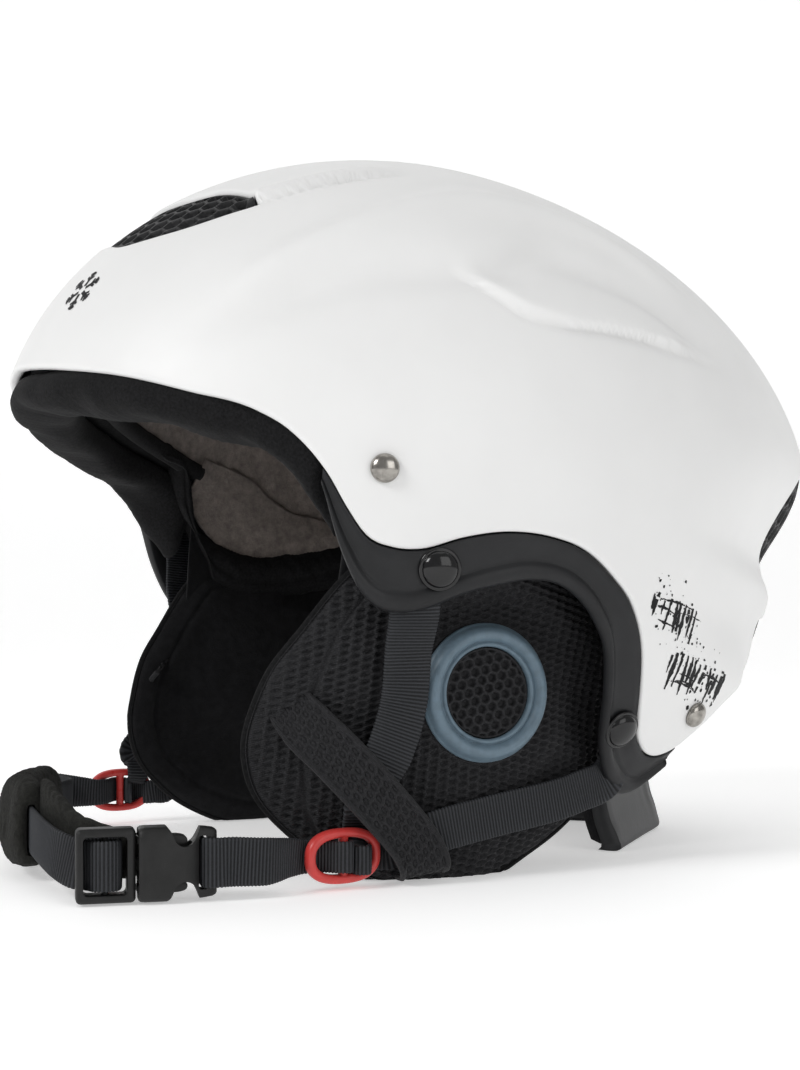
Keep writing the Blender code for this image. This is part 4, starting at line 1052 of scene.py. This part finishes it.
# ------------------------------------------------------------------ webbing
def webbing(name, points, widths, thick, looks, slot, rib=0.95, deep=0.17, spacing=0.19, cells=False):
    """Flat webbing along a path, with ribs across it and rolled edges. looks is the way its outer face
    looks. With cells, it is a tape of open mesh fabric instead, folded over at its edges."""
    path = even(smooth_path(points, 16), spacing)
    count = len(points)
    coarse = smooth_path(points, 16)
    where = np.concatenate([[0], np.cumsum(np.linalg.norm(np.diff(coarse, axis=0), axis=1))])
    index = np.interp(np.linspace(0, where[-1], len(path)), where, np.linspace(0, count - 1, len(coarse)))
    wide = np.interp(index, range(count), np.broadcast_to(widths, count))
    looks = np.broadcast_to(np.array(looks, float), (count, 3))
    look = np.stack([np.interp(index, range(count), unit(looks)[:, k]) for k in range(3)], axis=1)
    along = unit(np.gradient(path, axis=0))
    side = unit(np.cross(along, look))
    out = unit(np.cross(side, along))
    run = np.linspace(0, where[-1], len(path))
    ribs = deep * np.cos(run * 2 * math.pi / rib)
    flat = np.linspace(-0.46, 0.46, 33 if cells else 7)
    top = [(-0.5, 0.0), (-0.49, 0.35), *[(a, 0.5) for a in flat], (0.49, 0.35), (0.5, 0.0)]
    section = top + [(a, -b) for a, b in top[-2:0:-1]]
    rings, uvs = [], []
    for a, b in section:
        face = 1 if b > 0.4 else -1 if b < -0.4 else 0
        if cells:
            bulge = -0.85 * face * ramp(0.84, 0.45, hexes(run * 0.8 + wide * a * 0.5, (wide * a - run * 0.3)
                * 1.5, 3.2)) * (abs(a) < 0.4)
            bulge = bulge + 0.35 * face * (abs(a) > 0.41)
        else:
            bulge = ribs * face * (1 if abs(a) < 0.45 else 0.6)
        edge = 0.0 if cells else 0.1 * np.sign(a) * (abs(a) > 0.48)
        high = thick * b + bulge
        rings.append(path + side * (wide * a + edge * np.cos(run * 2 * math.pi / rib))[:, None] + out
            * high[:, None])
        uvs.append(np.stack([run, wide * a + (40 if b < 0 else 0)], axis=-1))
    rings = np.swapaxes(np.array(rings), 0, 1)
    uvs = np.swapaxes(np.array(uvs), 0, 1)
    return skin("fine_" + name, rings, MATS[slot], uv=uvs)


def axis_frame(at, sign):
    """Forward, up and outward at a divider. Outward lies along the chin strap's swing axis."""
    out = unit((LEFT_WINDOW - RIGHT_WINDOW) * sign)
    forward = unit(np.cross(out, (0, 0, 1))) * sign
    forward = forward if forward[1] < 0 else -forward
    up = unit(np.cross(out, forward))
    up = up if up[2] > 0 else -up

    def put(f, u, n):
        return np.array(at) + forward * f + up * u + out * n

    return put, out


def build_divider(side, sign, window):
    """An oval ring with a bar across it, rounded all over."""
    put, _ = axis_frame(window, sign)
    turns = np.radians(np.arange(96) * 3.75)

    def oval(grow, squareness=2.5):
        c, s = np.cos(turns), np.sin(turns)
        return np.stack([np.sign(c) * np.abs(c) ** (2 / squareness) * (DIVIDER_HALF_LENGTH - grow),
                         np.sign(s) * np.abs(s) ** (2 / squareness) * (DIVIDER_HALF_HEIGHT - grow)], axis=-1)

    rings = []
    for grow, n in ((0.0, 0.0), (0.12, 0.9), (0.55, 1.6), (1.25, 1.85), (2.05, 1.7), (2.5, 1.1), (2.6, 0.0),
            (2.5, -1.1), (2.05, -1.7),
                    (1.25, -1.85), (0.55, -1.6), (0.12, -0.9)):
        rings.append([put(-WINDOW_OFFSET + a, b, n) for a, b in oval(grow)])
    ring = skin(f"fine_strap_divider_{side}", rings, MATS["divider_red"], closed=True)
    bar_turns = np.radians(np.arange(20) * 18)
    bars = []
    for k in np.linspace(-6.6, 6.6, 14):
        flare = 0.35 * (abs(k) / 6.6) ** 3
        bars.append([put(-WINDOW_OFFSET + (1.25 + flare) * math.cos(t), k, (1.35 + flare * 0.3)
            * math.sin(t)) for t in bar_turns])
    bar = skin("bar", bars, MATS["divider_red"])
    boolean(ring, bar, "UNION")
    put_on(ring)


def build_harness():
    for side, sign, window in (("left", 1, LEFT_WINDOW), ("right", -1, RIGHT_WINDOW)):
        build_divider(side, sign, window)
        put, out = axis_frame(window, sign)
        rim = -2 * WINDOW_OFFSET
        # both straps pass behind the ring's rim, and the rear one curls up through it
        front_end = [put(rim - 0.4, 15, 0.6), put(rim - 0.2, 10.4, -2.2), put(rim, 6.6, -3.2),
                     put(rim + 0.2, 3.9, -2.4), put(rim + 0.4, 2.9, -1.0)]
        rear_end = [put(rim - 11, -0.4, -1.6), put(rim - 6.4, -0.8, -3.2), put(rim - 3.6, -1.2, -2.4),
            put(rim - 2.2, -1.2, 0.6),
                    put(rim - 0.4, -1.2, 3.3), put(rim + 2.0, -1.2, 2.8), put(rim + 2.9, -1.2, 0.4),
                    put(rim + 2.6, -1.2, -2.2)]
        top = [(65.2, -1.2), (65.8, -7.0), (68.6, -14.5), (72.3, -22.0)] if side == "left" else [
            (65.2, -1.2), (65.2, -7.0), (65.8, -14.5), (66.2, -21.5)]
        front = [on_helmet(sign * a, u, STRAP_DEPTH) for a, u in top]
        front_looks = [helmet_normal(sign * a, u) for a, u in top]
        top = [(133.2, -27.8), (129.5, -31.5), (125.5, -34.8), (121.6, -38.0)]
        rear = [on_helmet(sign * a, u, 5.7) for a, u in top]
        rear_looks = [helmet_normal(sign * a, u) for a, u in top]
        if side == "left":
            front += [(87.6, -42.5, 64), (85.6, -43, 50), (85.2, -47.5, 36)]
            rear += [(79.8, 25, 26.5), (82.2, 15, 23.4), (83.4, 5, 21.0), (84.0, -16, 17.5), (84.6, -34, 14)]
        else:
            front += [(-86.2, -50, 64), (-83.2, -53, 50), (-81.8, -59, 38)]
            rear += [(-79.8, 25, 28), (-82.4, 10, 24), (-83.6, -22, 20), (-83.0, -46, 17), (-80.9, -62, 14.5)]
        count, rings_out = len(front), [out] * 5
        made = webbing(f"strap_front_{side}", [*front, *front_end], [FRONT_WIDTH] * count + [11, 9, 8, 7,
            6.4], 1.3,
                       front_looks + [(sign, 0, 0)] * (count - 4) + rings_out, "webbing_grey")
        put_on(made)
        count = len(rear)
        ahead = put(1, 0, 0) - put(0, 0, 0)
        made = webbing(f"strap_rear_{side}", [*rear, *rear_end], [REAR_WIDTH] * count + [10, 8.6, 8, 8, 8, 8,
            7.6, 7], 1.1,
                       rear_looks + [(sign, 0, 0)] * (count - 4)
                       + [out, out, out - ahead, -ahead, out - ahead * 0.2, out + ahead, ahead, ahead],
                       "webbing_grey")
        put_on(made)
        rise = [(77.6, -68.2, 44.0), (83.6, -62, 36.5), (88.0, -53.5, 26.5)] if side == "left" else [
            (80.5, -69.5, 45), (86.6, -64.5, 39.5), (87.6, -54, 28)]
        path = [(63.0, -70.0, 57.0), (70.4, -71.4, 50.6), *rise, (87.2, -42, 14.0), (86.7, -37.8, 7.6),
                (84.2, -35.8, 3.6), (78.5, -34.7, 2.2)]
        looks = [(0.5, -0.8, 0.3), (0.75, -0.65, 0.2), (0.8, -0.55, 0.2), (0.9, -0.4, 0.1), (1, -0.1, 0),
            (1, 0, 0), (1, 0, -0.2),
                 (0.7, 0.1, -1), (0.1, 0.1, -1)]
        widths = [9, 13] + [LOOP_WIDTH] * (len(path) - 2)
        made = webbing(f"strap_loop_{side}", [(sign * x, y, z) for x, y, z in path], widths, 1.2,
                       [(sign * x, y, z) for x, y, z in looks], "mesh_black", spacing=0.42, cells=True)
        put_on(made)


# ------------------------------------------------------------------ chin strap, chin pad and buckle
OUTWARD = np.array([-PULL[1], PULL[0], 0])


def buckle_put(s, z, n):
    """A point in the buckle's frame: along the pull, up, and outward."""
    return BUCKLE_AT + PULL * s + OUTWARD * n + [0, 0, z]


RUN = [(66.0, -133.4, 11.6), (58.0, -134.6, 12.8), (48.0, -135.0, 14.0), (34.0, -134.5, 14.8),
    (18.0, -132.9, 15.0),
       (0.0, -128.7, 14.6), (-18.0, -122.3, 13.8), (-34.0, -115.4, 13.0), (-48.0, -108.4, 12.6),
       (-60.0, -103.0, 12.4)]


def bend(strap, start, stop):
    """Bakes the strap's placement into its mesh; the points start and stop are worked into metres and then
    left unused.
    """
    [((np.array(p) + SHIFT) * MM).tolist() for p in (start, stop)]
    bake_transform(strap)


def build_chin_strap():
    put, out = axis_frame(LEFT_WINDOW, 1)
    left = [put(-7.7, 0, -2.2), put(-7.9, 0, 0.2), put(-7.0, 0, 2.2), put(-5.5, 0, 2.9), put(-3.6, 0, 2.0),
        put(-1.4, 0, -0.6),
            put(1.2, 0, -2.7), put(4.8, 0, -3.3), put(10, 0.4, -1.6), put(18, 0.6, 1.6),
            buckle_put(-21.5, 0, 2.9), buckle_put(-17.8, 0, 3.5), buckle_put(-15.2, 0, 3.3),
            buckle_put(-13.95, 0, 1.8), buckle_put(-13.8, 0, -1.6)]
    ahead = put(1, 0, 0) - put(0, 0, 0)
    wrap = [-ahead, -ahead, out - ahead, out, out + ahead, out + ahead, out, out, out, out]
    looks = [*wrap, OUTWARD, OUTWARD, OUTWARD + PULL * 0.6, PULL, PULL]
    made = webbing("chin_webbing_left", left, [8.4, 8.4, 8.6, 8.6, 8.6, 8.6, 8.8, 9.2, 10.6, 12.6]
        + [CHIN_WIDTH] * 5, 1.2, looks,
                   "webbing_grey")
    put_on(made, None)
    bend(made, put(-3, 0, 0), put(13, 0, 0))
    put, far_out = axis_frame(RIGHT_WINDOW, -1)
    path = [buckle_put(17.4, 0, -5.0), buckle_put(11.0, 0, -4.9), buckle_put(7.9, 0, -3.9),
        buckle_put(7.6, 0, -0.6),
            buckle_put(8.7, 0, 2.3), buckle_put(11.3, 0, 3.3), buckle_put(14.0, 0, 2.2),
            buckle_put(15.6, 0, -0.6),
            buckle_put(18.6, 0, -3.9), *RUN,
            put(18, 0.8, 1.6), put(10, 0.4, -1.6), put(4.8, 0, -3.3), put(1.2, 0, -2.7), put(-1.4, 0, -0.6),
            put(-3.6, 0, 2.0),
            put(-5.5, 0, 2.9), put(-7.0, 0, 2.2), put(-7.9, 0, 0.2), put(-7.7, 0, -2.2)]
    looks = [-OUTWARD, -OUTWARD, -OUTWARD - PULL, -PULL, OUTWARD - PULL, OUTWARD, OUTWARD + PULL,
        OUTWARD + PULL, OUTWARD + PULL * 0.3]
    looks += [(0.5, -1, 0), (0.2, -1, 0), (0, -1, 0), (-0.02, -1, 0), (-0.15, -1, 0), (-0.35, -1, 0),
                             (-0.45, -1, 0), (-0.5, -1, 0), (-0.5, -1, 0), (-0.6, -1, 0)]
    ahead = put(1, 0, 0) - put(0, 0, 0)
    wrap = [-ahead, -ahead, far_out - ahead, far_out, far_out + ahead, far_out + ahead, far_out, far_out,
        far_out, far_out]
    looks += wrap[::-1]
    # two lengths that meet inside the chin pad
    widths = [CHIN_WIDTH] * 19 + [12.6, 10.6, 9.2, 8.8, 8.6, 8.6, 8.6, 8.6, 8.4, 8.4]
    made = webbing("chin_webbing_right", path[:16], widths[:16], 1.2, looks[:16], "webbing_grey")
    put_on(made, None)
    bend(made, buckle_put(20, 0, -4), (40, -135, 14.4))
    made = webbing("chin_webbing_right_end", path[14:], widths[14:], 1.2, looks[14:], "webbing_grey")
    made.name = "chin_webbing_right_end"
    bend(made, put(-3, 0, 0), put(13, 0, 0))

    # the chin pad: a fleece sleeve round the webbing, with a tapering tongue behind the webbing
    line = even(smooth_path([(38, -134.8, 14.6), *RUN[3:-2]], 12), 0.8)
    along = unit(np.gradient(line, axis=0))
    face = unit(np.cross(along, np.broadcast_to([0, 0, 1.0], along.shape)))
    at = np.linspace(0, 1, len(line))
    near = 1 - np.clip(at / 0.1, 0, 1)
    far = 1 - np.clip((1 - at) / 0.12, 0, 1)
    full = 0.62 + 0.38 * np.sqrt(1 - near**2) * np.sqrt(1 - far**2)
    turns = np.radians(np.arange(72) * 5)

    def sleeve(bumpy, swell=None):
        rings = []
        for t in turns:
            s, c = math.sin(t), math.cos(t)
            p = line + np.outer(0.4 + 12.4 * full * squared(s, 0.75), [0, 0, 1]) \
                + face * (5.4 * full * squared(c, 0.75))[:, None]
            if swell:
                p = p + swell(p)
            if bumpy:
                weave = 0.22 * np.sin((line[:, 0] * 0.95 + p[:, 2] * 1.1) * 2 * math.pi / 2.6)
                puff = 0.25 * wobble(p, 16, 41) + 0.15 * wobble(p, 4, 42) + weave
                p = p + unit(p - line) * puff[:, None]
            rings.append(p)
        return np.swapaxes(np.array(rings), 0, 1)

    ends = [line[0], line[-1]]
    swell = swelling(sleeve(False), ends, lambda p: np.min([np.linalg.norm(p - e, axis=1) for e in ends],
        axis=0) < 9, 2.6, 3.5)
    outer_rings = sleeve(True, swell)
    inner = []
    for t in turns:
        s, c = math.sin(t), math.cos(t)
        inner.append(line + np.outer(np.broadcast_to(7.1 * squared(s, 0.4), len(line)), [0, 0, 1])
                     + face * 1.3 * squared(c, 0.4))
    inner_rings = np.swapaxes(np.array(inner), 0, 1)
    pad = skin("fine_chin_pad", np.concatenate([outer_rings, inner_rings[::-1]]), MATS["chin_fleece"],
        closed=True)
    put_on(pad, "chin_strap")

    line = even(smooth_path([(30, -129.6, 15.6), (42, -130.2, 15.4), (54, -129.0, 14.0), (64, -125.5, 12.6),
        (70, -118, 11.6),
                             (72.5, -110, 11.0)], 12), 0.6)
    along = unit(np.gradient(line, axis=0))
    face = unit(np.cross(along, np.broadcast_to([0, 0, 1.0], along.shape)))
    at = np.linspace(0, 1, len(line))
    tall = np.interp(at, [0, 0.2, 0.6, 0.92, 1], [12.5, 12.2, 8.6, 5.6, 3.2])
    rings = []
    for t in turns:
        s, c = math.sin(t), math.cos(t)
        p = line + np.outer(tall * squared(s, 0.7), [0, 0, 1]) + face * 2.6 * squared(c, 0.7)
        weave = 0.2 * np.sin((line[:, 0] * 0.95 + p[:, 2] * 1.1) * 2 * math.pi / 2.6)
        rings.append(p + unit(p - line) * (weave + 0.3 * wobble(p, 14, 43))[:, None])
    tongue = skin("chin_pad_tongue", np.swapaxes(np.array(rings), 0, 1), MATS["chin_fleece"],
        caps=(line[0], line[-1]))
    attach(tongue, "chin_strap")


def buckle_box(name, low, high, round_off=0.0, segments=3):
    (s0, z0, n0), (s1, z1, n1) = low, high
    ring = [(z0, n0), (z1, n0), (z1, n1), (z0, n1)]
    made = skin(name, [[buckle_put(s, z, n) for z, n in ring] for s in (s0, s1)], MATS["buckle_black"])
    if round_off:
        bevelled(made, round_off, segments)
        apply_all(made)
    return made


def build_buckle():
    sections = [(SOCKET_END, 0.84, 1.3), (SOCKET_END + 0.35, 0.88, 1.9), (SOCKET_END + 1.1, 0.92, 2.3),
        (-14.5, 0.95, 2.5), (-12.6, 0.97, 2.6),
                (-11.0, 0.985, 3.7), (-9.8, 1.0, 4.5), (-8.2, 1.0, 5.0), (-4, 1.0, 5.0),
                (MOUTH - 1.6, 1.0, 5.0), (MOUTH - 0.5, 0.99, 4.9), (MOUTH, 0.95, 4.5)]
    turns = np.radians(np.arange(64) * 5.625 + 2.8)
    rings = []
    for s, tall, thick in sections:
        c, d = np.cos(turns), np.sin(turns)
        rings.append([buckle_put(s, a, b) for a, b in zip(9.7 * tall * squared(d, 0.38),
            thick * squared(c, 0.38))])
    female = skin("fine_buckle_female", rings, MATS["buckle_black"])
    boolean(female, buckle_box("cut", (-11.0, -7.8, -2.8), (9, 7.8, 2.8), 0.6, 2))
    boolean(female, buckle_box("cut", (-15.0, -7.0, -8), (-12.6, 7.0, 8), 0.7, 3))
    for sign in (1, -1):
        notch = smooth_path([(-13.8, 12.5), (-12.9, 9.2), (-11.2, 5.6), (-8.8, 4.5), (-6.6, 5.6),
            (-5.2, 8.6), (-3.6, 10.2), (-2.4, 12.5)], 4)
        cutter = skin("cut", [[buckle_put(s, sign * z, n) for s, z in notch] for n in (-9, 9)],
            MATS["buckle_black"])
        boolean(female, cutter)
    soften(female, 0.35)
    put_on(female, "chin_strap")

    male = buckle_box("fine_buckle_male", (CLIP_START, -9.6, -3.4), (CLIP_END, 9.6, 3.4), 1.3, 4)
    boolean(male, buckle_box("cut", (CLIP_START + 2.2, -7.5, -6), (CLIP_END - 1.9, 7.5, 6), 1.1, 3))
    boolean(male, buckle_box("bar", (CLIP_START + 6.9, -8.2, -1.3), (CLIP_START + 8.6, 8.2, 1.3), 0.5, 2),
        "UNION")
    boolean(male, buckle_box("cut", (-8.4, -1.7, -1.3), (CLIP_START + 1.0, 1.7, 1.3), 0.4, 2), "UNION")
    soften(male, 0.3)
    put_on(male, "buckle_clip")

    for name, sign in (("upper", 1), ("lower", -1)):
        shape = smooth_path([(3.3, 5.2), (-0.3, 5.0), (-5.2, 4.4), (-8.6, 4.6), (-9.7, 5.6), (-9.2, 6.9),
            (-7.0, 7.45),
                             (-4.4, 7.35), (-3.1, 6.75), (0.1, 7.0), (3.3, 7.3)], 5)
        prong = skin(f"fine_buckle_prong_{name}", [[buckle_put(s, sign * z, n) for s, z in shape]
            for n in (-2.2, 2.2)],
                     MATS["buckle_black"])
        bevelled(prong, 0.35, 2, 50)
        apply_all(prong)
        put_on(prong, f"prong_{name}")


def soften(obj, width):
    """Rounds the sharp edges left by the cuts, and shades the rest smooth."""
    bevelled(obj, width, 2, 40)
    apply_all(obj)
    obj.data.polygons.foreach_set("use_smooth", [True] * len(obj.data.polygons))
    work = bmesh.new()
    work.from_mesh(obj.data)
    for edge in work.edges:
        edge.smooth = not (len(edge.link_faces) == 2 and edge.calc_face_angle(0) > math.radians(42))
    work.to_mesh(obj.data)
    work.free()


# ------------------------------------------------------------------ stage, lights and camera
def build_stage():
    floor = bpy.data.meshes.new("floor")
    size, back, curve = 3.0, 1.2, 0.5
    profile = [(-size, 0.0), (back, 0.0)]
    profile += [(back + curve * math.sin(t), curve * (1 - math.cos(t))) for t in np.linspace(0, math.pi / 2,
        16)[1:]]
    profile += [(back + curve, 3.0)]
    way, side = -VIEW[:2], np.array([-VIEW[1], VIEW[0]])
    points, faces = [], []
    for d, z in profile:
        for s in (-4.0, 4.0):
            points.append((*(way * d + side * s), z - 0.0002))
    for k in range(len(profile) - 1):
        faces.append((2 * k, 2 * k + 1, 2 * k + 3, 2 * k + 2))
    floor.from_pydata(points, [], faces)
    look = bpy.data.materials.new("floor_look")
    look.use_nodes = True
    look.node_tree.nodes["Principled BSDF"].inputs["Base Color"].default_value = (0.9, 0.9, 0.9, 1)
    look.node_tree.nodes["Principled BSDF"].inputs["Roughness"].default_value = 0.9
    look.node_tree.nodes["Principled BSDF"].inputs["Emission Color"].default_value = (1, 1, 1, 1)
    look.node_tree.nodes["Principled BSDF"].inputs["Emission Strength"].default_value = 0.38
    floor.materials.append(look)
    floor.polygons.foreach_set("use_smooth", [True] * len(floor.polygons))
    ground = bpy.data.objects.new("floor", floor)
    bpy.context.scene.collection.objects.link(ground)

    world = bpy.data.worlds.new("studio")
    bpy.context.scene.world = world
    world.use_nodes = True
    world.node_tree.nodes["Background"].inputs["Color"].default_value = (1, 1, 1, 1)
    nodes, links = world.node_tree.nodes, world.node_tree.links
    seen = nodes.new("ShaderNodeLightPath").outputs["Is Camera Ray"]
    strength = nodes.new("ShaderNodeMapRange")
    strength.inputs["To Min"].default_value, strength.inputs["To Max"].default_value = 0.36, 1.05
    links.new(seen, strength.inputs["Value"])
    links.new(strength.outputs["Result"], nodes["Background"].inputs["Strength"])

    def lamp(name, place, target, size, power):
        light = bpy.data.lights.new(name, "AREA")
        light.shape, light.size, light.size_y, light.energy = "RECTANGLE", size[0], size[1], power
        made = bpy.data.objects.new(name, light)
        made.location = place
        way = np.array(target) - np.array(place)
        made.rotation_mode = "QUATERNION"
        made.rotation_quaternion = Vector(way).to_track_quat("-Z", "Y")
        bpy.context.scene.collection.objects.link(made)

    lamp("key", (0.35, -1.35, 1.0), (0, 0, 0.1), (0.6, 0.5), 10)
    lamp("fill", (1.35, 0.35, 0.55), (0, 0, 0.1), (0.9, 0.9), 3.6)
    lamp("top", (0.1, 0.1, 1.4), (0, 0, 0.1), (1.0, 1.0), 1.6)


def build_camera():
    camera = bpy.data.cameras.new("camera")
    camera.lens, camera.sensor_width, camera.sensor_fit = LENS, 36.0, "AUTO"
    camera.shift_y = HORIZON_SHIFT
    camera.clip_start = 0.05
    made = bpy.data.objects.new("camera", camera)
    made.location = tuple(VIEW * VIEW_DISTANCE + VIEW_TARGET)
    made.rotation_euler = (math.pi / 2, 0, math.atan2(VIEW[0], -VIEW[1]))
    bpy.context.scene.collection.objects.link(made)
    bpy.context.scene.camera = made
    bpy.context.scene.view_settings.view_transform = "Standard"


build_shell()
build_grilles()
build_marks()
build_trims()
build_studs()
build_linings()
build_ear_pads()
build_nape()
build_harness()
build_chin_strap()
build_buckle()
build_stage()
build_camera()
